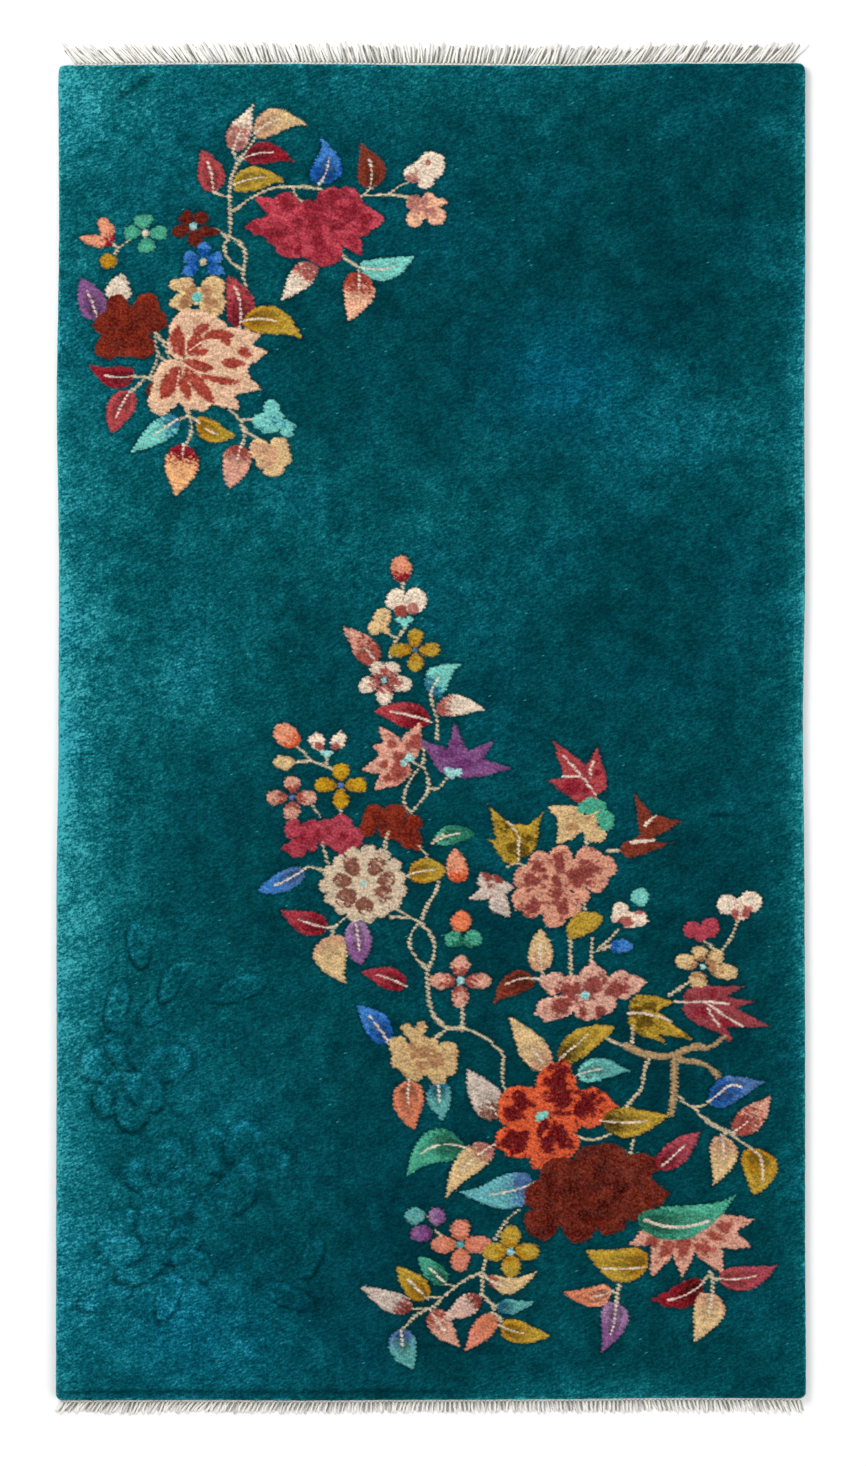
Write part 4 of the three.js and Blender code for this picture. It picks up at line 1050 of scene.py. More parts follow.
def carve_plain_spray(c):
    """Carves the self-coloured spray into the ground, paints shade along the near side of its troughs and a
    highlight along its far edges, and marks the knots it touches.
    """
    touched = np.zeros(c.u.shape)
    for u, v, long, wide, turn in CARVED_SPRAY:
        w = c.window(u - 1.7 * long, v - 1.7 * long, u + 1.7 * long, v + 1.7 * long)
        across, up = c.u[w] - u, v - c.v[w]
        cosine, sine = math.cos(math.radians(turn)), math.sin(math.radians(turn))
        along = (across * cosine + up * sine) / long
        aside = (up * cosine - across * sine) / wide
        wobble = 1 + 0.22 * (lattice(c.u[w] / 13, c.v[w] / 13, 41) - 0.5)
        reach = np.hypot(along, aside) * wobble
        dome = 1 - smooth(reach, 0.62, 1.12)
        # The carving is worn: here and there a petal's edge fades away.
        kept = smooth(lattice(c.u[w] / 12 + 3, c.v[w] / 12, 43), 0.12, 0.62)
        trough = kept * np.exp(-(((reach - 1.16) / 0.15) ** 2)) * (1 - dome)
        c.rise[w] = np.where(dome > 0.02, np.maximum(c.rise[w], 0.9 * dome), c.rise[w])
        c.rise[w] = np.minimum(c.rise[w], 0.9 * dome - 0.55 * trough + 1.2 * (trough < 0.05))
        # Painted shade makes its near side a dark line, and a painted highlight makes its far side a pale
        # one.
        near = 0.5 - 0.5 * up / (np.hypot(across, up) + 1)
        c.shade[w] = np.maximum(c.shade[w] * (1 - 0.8 * dome), trough * (0.35 + 1 * near))
        edge = (0.3 + 0.7 * kept) * (1.2 - 0.75 * near)
        c.shine[w] = np.maximum(c.shine[w], edge * np.exp(-(((reach - 0.8) / 0.24) ** 2)))
        touched[w] = np.maximum(touched[w], (reach < 1.4))
    return touched


def grown(cells):
    """The cells and all their neighbours."""
    wide = cells.copy()
    for shift_j in (-1, 0, 1):
        for shift_i in (-1, 0, 1):
            wide |= np.roll(np.roll(cells, shift_j, 0), shift_i, 1)
    return wide


def fours(grid):
    """The four neighbours round each inner corner of a grid, from the top left and clockwise."""
    return grid[:-1, :-1], grid[:-1, 1:], grid[1:, 1:], grid[1:, :-1]


def meets(labels):
    """Which of the inner corners of the grid have all four cells in one group."""
    a, b, c, d = fours(labels)
    return (a > 0) & (a == b) & (b == c) & (c == d)


def tidied(labels):
    """Groups of cells that never touch only at a corner, and have room below the face in every cell."""
    for turn in range(60):
        before = labels.copy()
        for flip in (False, True):
            a, b, c, d = fours(labels[:, ::-1] if flip else labels)
            pinch = (a > 0) & (a == c) & (b != a) & (d != a)
            if turn < 8:
                b[pinch] = a[pinch]
            else:
                a[pinch] = 0
        room = np.zeros(labels.shape, dtype=bool)
        inner = meets(labels)
        for shift_j in (0, 1):
            for shift_i in (0, 1):
                room[shift_j : shift_j + inner.shape[0], shift_i : shift_i + inner.shape[1]] |= inner
        labels[~room] = 0
        if (labels == before).all():
            return labels
    raise ValueError("the groups of knots don't settle")


class Pile:
    """The rug's face as fields over the design's grid, and the groups of knots it is made up of."""

    def __init__(self, sizes, wools):
        c = Cartoon({name: [255 * display(x) for x in getattr(wools, name)] for name in WOOLS})
        draw_design(c)
        touched = carve_plain_spray(c)
        self.c = c
        self.sizes = sizes
        hue = np.clip(c.hue / 255, 0, 1)
        plain = np.where(hue <= 0.04045, hue / 12.92, ((hue + 0.055) / 1.055) ** 2.4)
        self.wool = np.dstack([plain, c.cover])
        self.rise_over_the_face()
        self.paint_nap_sheen()
        self.group(touched)

    def crease(self):
        """How deep the pressed lines are, point by point."""
        depth = np.zeros(self.c.u.shape)
        for u0, v0, u1, v1, deep, wide in CREASES:
            far = self.c.from_line((), (u0, v0), (u1, v1))[0]
            depth = np.maximum(depth, deep * np.exp(-((far / wide) ** 2)))
        return depth

    def rise_over_the_face(self):
        """Places of the face's points in metres."""
        x = self.c.u - CARTOON_MIDDLE[0]
        y = CARTOON_MIDDLE[1] - MIDDLE_SHIFT - self.c.v
        half_wide, half_long = HALF_WIDE - KNOT, HALF_LONG - KNOT
        to_edge = np.minimum(half_wide - np.abs(x), half_long - np.abs(y))
        swell = np.sin(x / 61 + 0.7) * np.cos(y / 83) + 0.6 * np.sin((x + y) / 47)
        self.creased = self.crease()
        z = 1000 * self.sizes.pile + smooth(to_edge, 0, 40) * 0.35 * swell
        z += smooth(to_edge, 0, 12) * (1000 * self.sizes.relief * self.c.rise - self.creased)
        x, y = rounded(x, y, half_wide, half_long, 1000 * self.sizes.corner - KNOT)
        x, y = wandered(x, y)
        self.face = np.dstack([x, y, z]) / 1000 * self.scale()
        self.slope = facing(self.face)

    def scale(self):
        """How much wider and longer the rug is than its drawing."""
        wide, long = PILE_WIDE / 1000, PILE_LONG / 1000
        return np.array((self.sizes.width / wide, self.sizes.length / long, 1))

    def paint_nap_sheen(self):
        """How light the ground looks, as painted sheen; the painted shade in its grooves and creases; and how
        blue it is, point by point.
        """
        c = self.c
        light = np.full(c.u.shape, 0.27)
        blue = np.full(c.u.shape, 0.04)
        for u, v, across, along, amount, tint in NAP_SHEEN:
            near = np.exp(-(((c.u - u) / across) ** 2) - ((c.v - v) / along) ** 2)
            light += amount * near
            blue += tint * near
        broad = lattice(c.u / 62 + 5, c.v / 62 + 3, 51) - 0.5
        cloudy = lattice(c.u / 21 + 9, c.v / 21 + 1, 52) - 0.5
        # Painted highlight: the carving's pale edges raise the sheen and the blueness; broad and cloudy noise
        # varies the sheen at random.
        light += 0.12 * broad + 0.1 * cloudy + 0.14 * c.shine
        blue += 0.35 * c.shine + 0.5 * np.maximum(broad, 0)
        # Painted shade in the carved grooves and along the pressed creases.
        groove_and_shade = np.maximum(c.shade, smooth(self.creased, 0.1, 0.8))
        self.nap = np.dstack([light, groove_and_shade, blue, np.zeros(c.u.shape)])

    def group(self, touched):
        """Parts the knots of the sprays into groups. Group 0 is the ground."""
        used = np.maximum(self.c.cover, touched) > 0.02
        cells = np.zeros((ROWS, COLUMNS), dtype=bool)
        for dj in range(FINE + 1):
            for di in range(FINE + 1):
                cells |= used[dj : dj + FINE * ROWS : FINE, di : di + FINE * COLUMNS : FINE][:ROWS, :COLUMNS]
        cells = grown(cells)
        cells[:2], cells[-2:], cells[:, :2], cells[:, -2:] = False, False, False, False
        row, column = np.mgrid[0:ROWS, 0:COLUMNS]
        u = PILE_LEFT + (column + 0.5) * KNOT
        v = PILE_TOP_V + (row + 0.5) * KNOT
        labels = np.zeros((ROWS, COLUMNS), dtype=int)
        for number, (_, u_low, v_low, u_high, v_high) in reversed(list(enumerate(SPRAYS, 1))):
            labels[cells & (u > u_low) & (u < u_high) & (v > v_low) & (v < v_high)] = number
        self.labels = tidied(labels)
        self.sunk = np.zeros((ROWS + 1, COLUMNS + 1), dtype=bool)
        self.sunk[1:-1, 1:-1] = meets(self.labels)


def display(value):
    """A linear level from 0 to 1 as a display one."""
    return 12.92 * value if value <= 0.0031308 else 1.055 * value ** (1 / 2.4) - 0.055


# ---- meshes


def placed(name, data):
    """An object that holds the data, put in the scene."""
    made = bpy.data.objects.new(name, data)
    bpy.context.scene.collection.objects.link(made)
    return made


def write_mesh(name, points, faces, smooth_faces, uvs, slopes, wool, nap, material):
    """A piece from its points, its faces and what is known at each; a slope of nought is left open."""
    mesh = bpy.data.meshes.new(name)
    mesh.from_pydata(points.tolist(), [], faces)
    mesh.polygons.foreach_set("use_smooth", smooth_faces)
    layer = mesh.uv_layers.new(name="OFBake")
    layer.uv.foreach_set("vector", np.asarray(uvs, dtype=np.float32).ravel())
    for label, values in (("wool", wool), ("nap", nap)):
        store = mesh.color_attributes.new(label, "FLOAT_COLOR", "POINT")
        store.data.foreach_set("color", np.asarray(values, dtype=np.float32).ravel())
    mesh.materials.append(material)
    if mesh.validate():
        raise ValueError(name + " has a broken face")
    mesh.normals_split_custom_set(slopes.tolist())
    return placed(name, mesh)


def corners_of(faces):
    """The points at the corners of the faces, one after another."""
    return np.concatenate([np.asarray(f) for f in faces])


def face_uvs(points, faces, strip):
    """Each corner's place on the map, seen from above; strip squeezes hidden faces into the map's margin."""
    low = points[:, :2].min(axis=0)
    size = float((points[:, :2].max(axis=0) - low).max())
    flat = (points[corners_of(faces), :2] - low) / size
    if strip:
        return np.column_stack([0.003 + 0.012 * flat[:, 0], 0.02 + 0.96 * flat[:, 1]])
    return 0.02 + 0.96 * flat


def corner_fan(corner_ids, sunk):
    """Splits a cell into two triangles so that each reaches a sunken corner."""
    a, b, c, d = corner_ids
    if (sunk[1] or sunk[3]) and not (sunk[0] or sunk[2]):
        return [(a, b, d), (b, c, d)]
    return [(a, b, c), (a, c, d)]


def build_ground(pile, material):
    """The plain teal pile with its rounded edges and back; it dips under the sprays' knots."""
    face = pile.face[::FINE, ::FINE].copy()
    face[pile.sunk, 2] = FLOOR_OF_POCKET / 1000
    slope = facing(pile.face[::FINE, ::FINE])
    edge = np.zeros(pile.sunk.shape, dtype=bool)
    knots = pile.labels > 0
    for corner in (knots, np.roll(knots, 1, 0), np.roll(knots, 1, 1), np.roll(np.roll(knots, 1, 0), 1, 1)):
        edge[:-1, :-1] |= corner
    slope[edge] = pile.slope[::FINE, ::FINE][edge]
    slope = slope[1:-1, 1:-1].reshape(-1, 3)
    face = face[1:-1, 1:-1]
    rows, columns = face.shape[:2]
    points = [face.reshape(-1, 3)]
    inner = (slice(FINE, -FINE, FINE), slice(FINE, -FINE, FINE))
    wool = [pile.wool[inner].reshape(-1, 4)]
    nap = [pile.nap[inner].reshape(-1, 4)]
    ids = np.arange(rows * columns).reshape(rows, columns)
    # Row 0 is the top end, so a cell's corners run anticlockwise from its lower left.
    d, c, b, a = fours(ids)
    plain = pile.labels[1:-1, 1:-1] == 0
    top = np.stack([a, b, c, d], axis=-1)[plain].tolist()
    under = []
    sunk = fours(pile.sunk[1:-1, 1:-1])[::-1]
    for place in zip(*np.nonzero(~plain)):
        cell = [int(ends[place]) for ends in (a, b, c, d)]
        under += corner_fan(cell, [ends[place] for ends in sunk])

    # The rim, anticlockwise from the lower left corner.
    rim = np.concatenate([ids[-1, :-1], ids[::-1, -1][:-1], ids[0, ::-1][:-1], ids[:-1, 0]])
    grid_j, grid_i = np.divmod(rim, columns)
    x = (grid_i - (columns - 1) / 2) / ((columns - 1) / 2)
    y = ((rows - 1) / 2 - grid_j) / ((rows - 1) / 2)
    edge_sheen_and_shade = nap[0][rim]
    count = rows * columns
    above = rim
    sides, side_uvs = [], []
    steps = np.arange(len(rim))
    tufts = np.random.default_rng(11).random(len(rim)) - 0.5
    for ring, (inset, height) in enumerate(EDGE_SECTION):
        half_wide, half_long = HALF_WIDE - inset, HALF_LONG - inset
        puff = 0.45 * tufts if 0 < ring < PILE_RINGS else 0 * tufts
        radius = 1000 * pile.sizes.corner - inset
        wx, wy = wandered(*rounded(x * half_wide, y * half_long, half_wide, half_long, radius))
        wx, wy = wx + puff * np.abs(x) ** 40 * np.sign(x), wy + puff * np.abs(y) ** 40 * np.sign(y)
        height = height * pile.sizes.pile / PILE_HIGH
        z = np.full(len(rim), height) + (0.2 * tufts if ring < PILE_RINGS else 0)
        points.append(np.column_stack([wx, wy, z]) / 1000 * pile.scale())
        ring_sheen_and_shade = edge_sheen_and_shade.copy()
        # The rounded edge gets more painted sheen below its first ring, a painted highlight on the rim, and
        # painted shade on its lower rings; the lowest rings are marked as woven back.
        ring_sheen_and_shade[:, 0] += 0.1 * min(ring, 2) + 0.25 * tufts
        ring_sheen_and_shade[:, 1] = min(1, 0.22 * max(ring - 3, 0))
        ring_sheen_and_shade[:, 3] = 1 if ring >= PILE_RINGS else 0
        nap.append(ring_sheen_and_shade)
        wool.append(np.tile((0.01, 0.08, 0.1, 0), (len(rim), 1)))
        here = count + steps
        after = np.roll(here, -1)
        sides += np.stack([above, here, after, np.roll(above, -1)], axis=-1).tolist()
        low, high = 0.984 + 0.0012 * ring, 0.984 + 0.0012 * (ring + 1)
        near, next_share = steps / len(rim), (steps + 1) / len(rim)
        quad = ((low, near), (high, near), (high, next_share), (low, next_share))
        quad = [np.column_stack([np.full(len(rim), s), 0.02 + 0.96 * t]) for s, t in quad]
        side_uvs.append(np.stack(quad, axis=1).reshape(-1, 2))
        above = here
        count += len(rim)
    points.append(np.array([[0, MIDDLE_SHIFT / 1000, 0]]))
    nap.append(np.array([[0.3, 0, 0.2, 1]]))
    wool.append(np.zeros((1, 4)))
    back = np.stack([np.full(len(rim), count), np.roll(above, -1), above], axis=-1).tolist()
    points = np.concatenate(points)
    uvs = [face_uvs(points, top, False), face_uvs(points, under, True)]
    uvs += side_uvs + [face_uvs(points, back, True)]
    faces = top + under + sides + back
    flags = [True] * len(top) + [False] * len(under) + [True] * len(sides) + [False] * len(back)
    rest = sum(len(f) for f in under + sides + back)
    slopes = np.concatenate([slope[corners_of(top)], np.zeros((rest, 3))])
    wool, nap = np.concatenate(wool), np.concatenate(nap)
    return write_mesh("pile_ground", points, faces, flags, np.concatenate(uvs), slopes, wool, nap, material)


def build_spray(pile, number, material):
    """One group of coloured or carved knots: a finely cut face, and a back that lies in the ground's dip."""
    cells = list(zip(*np.nonzero(pile.labels == number)))
    width = COLUMNS * FINE + 1
    z = pile.face[..., 2].copy()
    inside = pile.labels == number
    # Along the group's border the face runs straight from knot to knot, as the ground beside it does.
    for step in range(1, FINE):
        share = step / FINE
        across = blend(z[::FINE, :-1:FINE], z[::FINE, FINE::FINE], share)
        down = blend(z[:-1:FINE, ::FINE], z[FINE::FINE, ::FINE], share)
        edge_rows = np.zeros((ROWS + 1, COLUMNS), dtype=bool)
        edge_rows[1:-1] = inside[1:] != inside[:-1]
        edge_columns = np.zeros((ROWS, COLUMNS + 1), dtype=bool)
        edge_columns[:, 1:-1] = inside[:, 1:] != inside[:, :-1]
        part = z[::FINE, step::FINE]
        part[edge_rows] = across[edge_rows]
        part = z[step::FINE, ::FINE]
        part[edge_columns] = down[edge_columns]
    top, under, sunk_corners = [], [], {}
    for j, i in cells:
        base = (j * FINE) * width + i * FINE
        for dj in range(FINE):
            for di in range(FINE):
                k = int(base + dj * width + di)
                top.append((k + width, k + width + 1, k + 1, k))
        # The outline of the cell from its lower left corner, anticlockwise, then its back as a fan.
        corner = (((j + 1), i), ((j + 1), i + 1), (j, i + 1), (j, i))
        beside = ((j + 1, i), (j, i + 1), (j - 1, i), (j, i - 1))
        loop = []
        apex = None
        for side in range(4):
            (cj, ci), (nj, ni) = corner[side], corner[(side + 1) % 4]
            if pile.sunk[cj, ci]:
                sunk_corners[(cj, ci)] = None
                apex = len(loop) if apex is None else apex
                loop.append(("low", cj, ci))
            else:
                loop.append(("top", cj * FINE, ci * FINE))
            if pile.labels[beside[side]] != number:
                for step in range(1, FINE):
                    loop.append(("top", cj * FINE + (nj - cj) * step, ci * FINE + (ni - ci) * step))
        loop = loop[apex:] + loop[:apex]
        under += [(loop[0], loop[k + 1], loop[k]) for k in range(1, len(loop) - 1)]

    top = np.array(top)
    used = np.unique(top)
    fresh = np.full(width * (ROWS * FINE + 1), -1)
    fresh[used] = np.arange(len(used))
    for k, key in enumerate(sunk_corners):
        sunk_corners[key] = len(used) + k
    points = pile.face.copy()
    points[..., 2] = z
    points = points.reshape(-1, 3)[used]
    sunk = tuple(FINE * np.array(list(sunk_corners)).T)
    low_points = pile.face[sunk].copy()
    low_points[:, 2] = BACK_OF_SPRAY / 1000
    wool = np.concatenate([pile.wool.reshape(-1, 4)[used], pile.wool[sunk]])
    nap = np.concatenate([pile.nap.reshape(-1, 4)[used], pile.nap[sunk]])
    points = np.concatenate([points, low_points])

    def vertex(place):
        kind, j, i = place
        return sunk_corners[(j, i)] if kind == "low" else int(fresh[j * width + i])

    slopes = np.concatenate([pile.slope.reshape(-1, 3)[top.ravel()], np.zeros((3 * len(under), 3))])
    top = fresh[top].tolist()
    under = [tuple(vertex(p) for p in face) for face in under]
    uvs = np.concatenate([face_uvs(points, top, False), face_uvs(points, under, True)])
    flags = [True] * len(top) + [False] * len(under)
    return write_mesh(SPRAYS[number - 1][0], points, top + under, flags, uvs, slopes, wool, nap, material)


# ---- finishes


def add_node(tree, kind, sockets=(), **settings):
    """Adds a node, and sets or joins its inputs by name or number."""
    node = tree.nodes.new(kind)
    for key, value in settings.items():
        setattr(node, key, value)
    for key, value in dict(sockets).items():
        if isinstance(value, bpy.types.NodeSocket):
            tree.links.new(value, node.inputs[key])
        else:
            node.inputs[key].default_value = value
    return node


class Shader:
    """A material's nodes, added and joined one after another."""

    def __init__(self, name):
        self.material = bpy.data.materials.new(name)
        self.material.use_nodes = True
        self.tree = self.material.node_tree
        self.tree.nodes.clear()

    def add(self, kind, sockets=(), outlet=0, **settings):
        """Adds a node and returns one of its outputs."""
        return add_node(self.tree, kind, sockets, **settings).outputs[outlet]

    def maths(self, operation, a, b):
        return self.add("ShaderNodeMath", {0: a, 1: b}, operation=operation)

    def swing(self, value, middle, by):
        """How far a value lies from its middle, times a factor."""
        return self.maths("MULTIPLY", self.maths("SUBTRACT", value, middle), by)

    def mixed(self, share, a, b, kind="MIX"):
        return self.add("ShaderNodeMix", {0: share, 6: a, 7: b}, 2, data_type="RGBA", blend_type=kind)

    def attribute(self, name, outlet="Color"):
        return self.add("ShaderNodeAttribute", (), outlet, attribute_name=name)

    def noise(self, vector, scale, detail=2, rough=0.5):
        sockets = {"Vector": vector, "Scale": scale, "Detail": detail, "Roughness": rough}
        return self.add("ShaderNodeTexNoise", sockets)

    def finish(self, sockets):
        surface = self.add("ShaderNodeBsdfPrincipled", sockets)
        add_node(self.tree, "ShaderNodeOutputMaterial", {"Surface": surface})
        return self.material


def solid(colour):
    return (colour[0], colour[1], colour[2], 1)


def pile_material(wools):
    """Dyed wool pile: teal ground with painted sheen in slanting strokes and painted shade in its grooves,
    and the sprays' own wools with painted glints.
    """
    s = Shader("Wool pile")
    coordinates = s.add("ShaderNodeTexCoord", (), "Object")
    turned = s.add("ShaderNodeMapping", {"Vector": coordinates, "Rotation": (0, 0, math.radians(-22))})
    streaked = s.add("ShaderNodeMapping", {"Vector": turned, "Scale": (210, 430, 210)})
    strokes = s.noise(streaked, 1, 2, 0.6)
    fluff = s.noise(coordinates, 450, 2, 0.65)
    clouds = s.noise(coordinates, 48, 3, 0.6)
    # The stored colour holds painted sheen in red, painted shade of grooves and creases in green, blueness in
    # blue and the woven back in alpha.
    lean, groove_and_shade, blue = add_node(s.tree, "ShaderNodeSeparateColor", {0: s.attribute("nap")}).outputs
    back = s.attribute("nap", "Alpha")
    # Painted sheen: the stored level, with slanting strokes and fluff that show more where the sheen is
    # stronger.
    lively = s.add("ShaderNodeMath", {0: lean, 1: 0.9, 2: 0.45}, operation="MULTIPLY_ADD")
    stroke_part = s.swing(strokes, 0.5, s.maths("MULTIPLY", lively, 1.15))
    fluff_part = s.swing(fluff, 0.5, lively)
    cloud_part = s.swing(clouds, 0.5, 0.58)
    level = s.maths("ADD", s.maths("ADD", lean, stroke_part), s.maths("ADD", fluff_part, cloud_part))
    # The ramp runs through the one teal from its most shaded to its most lit, as painted sheen and shade.
    ramp = s.add("ShaderNodeValToRGB", {"Fac": level})
    stops = ramp.node.color_ramp.elements
    stops[0].position, stops[0].color = 0, solid(wools.teal_deep)
    stops[1].position, stops[1].color = 1, solid(wools.teal_bright)
    for place, colour in ((0.25, wools.teal_dark), (0.46, wools.teal), (0.7, wools.teal_light)):
        stop = stops.new(place)
        stop.color = solid(colour)
    bluish = s.mixed(s.maths("MULTIPLY", blue, 0.9), ramp, (0.62, 0.96, 1.3, 1), "MULTIPLY")
    # Painted shade: the ground darkens in the carved grooves and pressed creases.
    ground = s.mixed(s.maths("MULTIPLY", groove_and_shade, 0.55), bluish, solid([0.35 * x for x in wools.teal_deep]))
    # A few pale fibres lie loose on the wool.
    laid = s.add("ShaderNodeMapping", {"Vector": turned, "Scale": (30, 96, 1)})
    cell = add_node(s.tree, "ShaderNodeTexVoronoi", {"Vector": laid, "Scale": 1}, voronoi_dimensions="2D")
    middle = s.maths("LESS_THAN", cell.outputs["Distance"], 0.05)
    lot = s.add("ShaderNodeSeparateColor", {0: cell.outputs["Color"]})
    loose = s.maths("MULTIPLY", middle, s.maths("GREATER_THAN", lot, 0.93))
    ground = s.mixed(s.maths("MULTIPLY", loose, 0.5), ground, solid(wools.teal_bright))
    dyed = s.attribute("wool")
    cover = s.attribute("wool", "Alpha")
    fibre = s.maths("ADD", s.maths("MULTIPLY", fluff, 1.75), s.swing(strokes, 0.3, 0.58))
    fibres = s.add("ShaderNodeCombineColor", {0: fibre, 1: fibre, 2: fibre})
    # Painted glints: the wool is lifted towards a pale cream where the fluff is high.
    glint = s.maths("MAXIMUM", s.swing(fluff, 0.47, 0.18), 0)
    flower = s.mixed(glint, s.mixed(1, dyed, fibres, "MULTIPLY"), solid(wools.scallop_cream))
    face = s.mixed(cover, ground, flower)
    weave = s.add("ShaderNodeMapping", {"Vector": coordinates, "Scale": (224, 225, 1)})
    wave = {"Vector": weave, "Scale": 0.314, "Distortion": 1.2}
    rows = s.add("ShaderNodeTexWave", wave, "Fac", bands_direction="Y")
    woven = s.mixed(rows, solid(wools.teal_dark), solid([0.45 * x for x in wools.cotton]))
    colour = s.mixed(back, face, woven)
    height = s.maths("ADD", s.maths("MULTIPLY", strokes, 0.7), s.maths("MULTIPLY", fluff, 0.5))
    bump = s.add("ShaderNodeBump", {"Height": height, "Strength": 0.35, "Distance": 0.0012})
    rough = s.maths("ADD", s.maths("MULTIPLY", fluff, 0.15), 0.8)
    return s.finish(
        {
            "Base Color": colour,
            "Roughness": rough,
            "Normal": bump,
            "Specular IOR Level": 0,
            "Sheen Weight": 0.05,
            "Sheen Roughness": 0.5,
            "Sheen Tint": (0.1, 0.75, 0.8, 1),
        }
    )


def cotton_material(wools):
    """Undyed cotton yarn in patches of tone; the thin strands between the pale ones are brown as painted
    shade in the gaps, and painted shade darkens the twist and the woven strip at the root.
    """
    s = Shader("Fringe cotton")
    coordinates = s.add("ShaderNodeTexCoord", (), "Object")
    tone = s.attribute("tone", "Fac")
    valley = s.attribute("valley", "Fac")
    fuzz = s.noise(coordinates, 900, 3, 0.6)
    patch = s.noise(coordinates, 160, 2, 0.5)
    # Patchy tone of the cotton, with the painted shade of the thin gap strands.
    dirt_and_shade = s.maths("ADD", tone, s.swing(patch, 0.56, 0.5))
    yarn = s.mixed(s.add("ShaderNodeClamp", {0: dirt_and_shade}), solid(wools.cotton), solid(wools.cotton_shade))
    # Painted shade in the valleys of the twist and the rows of the strip.
    deep = s.mixed(s.maths("MULTIPLY", valley, 0.26), yarn, solid(wools.cotton_shade))
    bump = s.add("ShaderNodeBump", {"Height": fuzz, "Strength": 0.35, "Distance": 0.0005})
    rough = s.maths("ADD", s.maths("MULTIPLY", fuzz, 0.15), 0.82)
    return s.finish({"Base Color": deep, "Roughness": rough, "Normal": bump, "Specular IOR Level": 0.2})


# ---- fringes

# How the fringe lies: (share across from the left, lean to the right in degrees, share of the full reach).
TOP_LIE = (
    (0, -46, 1.02), (0.12, -40, 1.1), (0.3, -18, 1.14), (0.46, -4, 1.12), (0.6, 20, 1.06), (0.8, 38, 1),
    (1, 44, 0.98),
)
BOTTOM_LIE = (
    (0, -34, 0.98), (0.2, -30, 1), (0.4, -12, 1), (0.6, 4, 1.06), (0.85, 10, 1.14), (1, 26, 1.16),
)
STRIP_GAP = 0.3
STRIP_WIDE = 3.2
STRIP_TONE = 0.15
ROOT_DEEP = 0.9  # how far a strand's root lies inside the strip

# The ways a yarn lies: (bow and sway to one side in millimetres, half turns of its twist).
YARNS = ((0.6, 0.2, 2.4), (-0.7, -0.3, 2.1), (0.1, 0.9, 2.6), (-0.2, -0.8, 2.3))
YARN_RINGS = 9
YARN_SIDES = 6


def mark(mesh, **fields):
    """Stores numbers at the mesh's points, each set under its own name."""
    for label, values in fields.items():
        mesh.attributes.new(label, "FLOAT", "POINT").data.foreach_set("value", values)


def marked(mesh, label):
    """Reads back the numbers stored under a name."""
    values = np.zeros(len(mesh.vertices))
    mesh.attributes[label].data.foreach_get("value", values)
    return values


def strand_shapes(sizes, collection):
    """A few twisted yarns of unit length along Y, flat on the floor, each bent its own way."""
    last, sides = YARN_RINGS - 1, YARN_SIDES
    for number, (bow, sway, turns) in enumerate(YARNS):
        points, faces, valley_shades = [], [], []
        for k in range(YARN_RINGS):
            t = k / last
            taper = 1 if k < last else 0.55
            size = 500 * sizes.strand * (0.92 + 0.16 * math.sin(2.7 * t + number)) * taper
            middle = bow * math.sin(math.pi * t) + sway * t * t
            twist = math.pi * turns * t + number
            for side in range(sides):
                angle = 2 * math.pi * side / sides
                ply = abs(math.cos(angle - twist))
                reach = size * (0.72 + 0.28 * ply)
                x, z = middle + reach * math.cos(angle), size + reach * math.sin(angle)
                points.append((x / 1000, t, z / 1000))
                # Painted shade in the valleys between the plies of the twist.
                valley_shades.append((1 - ply) ** 1.5)
        for k in range(last):
            for side in range(sides):
                a, b = k * sides + side, k * sides + (side + 1) % sides
                faces.append((a, a + sides, b + sides, b))
        faces.append(tuple(range(sides)))
        faces.append(tuple(last * sides + side for side in reversed(range(sides))))
        mesh = bpy.data.meshes.new("strand shape")
        mesh.from_pydata(points, [], faces)
        mesh.shade_smooth()
        mark(mesh, valley=valley_shades)
        collection.objects.link(bpy.data.objects.new("strand shape %d" % number, mesh))


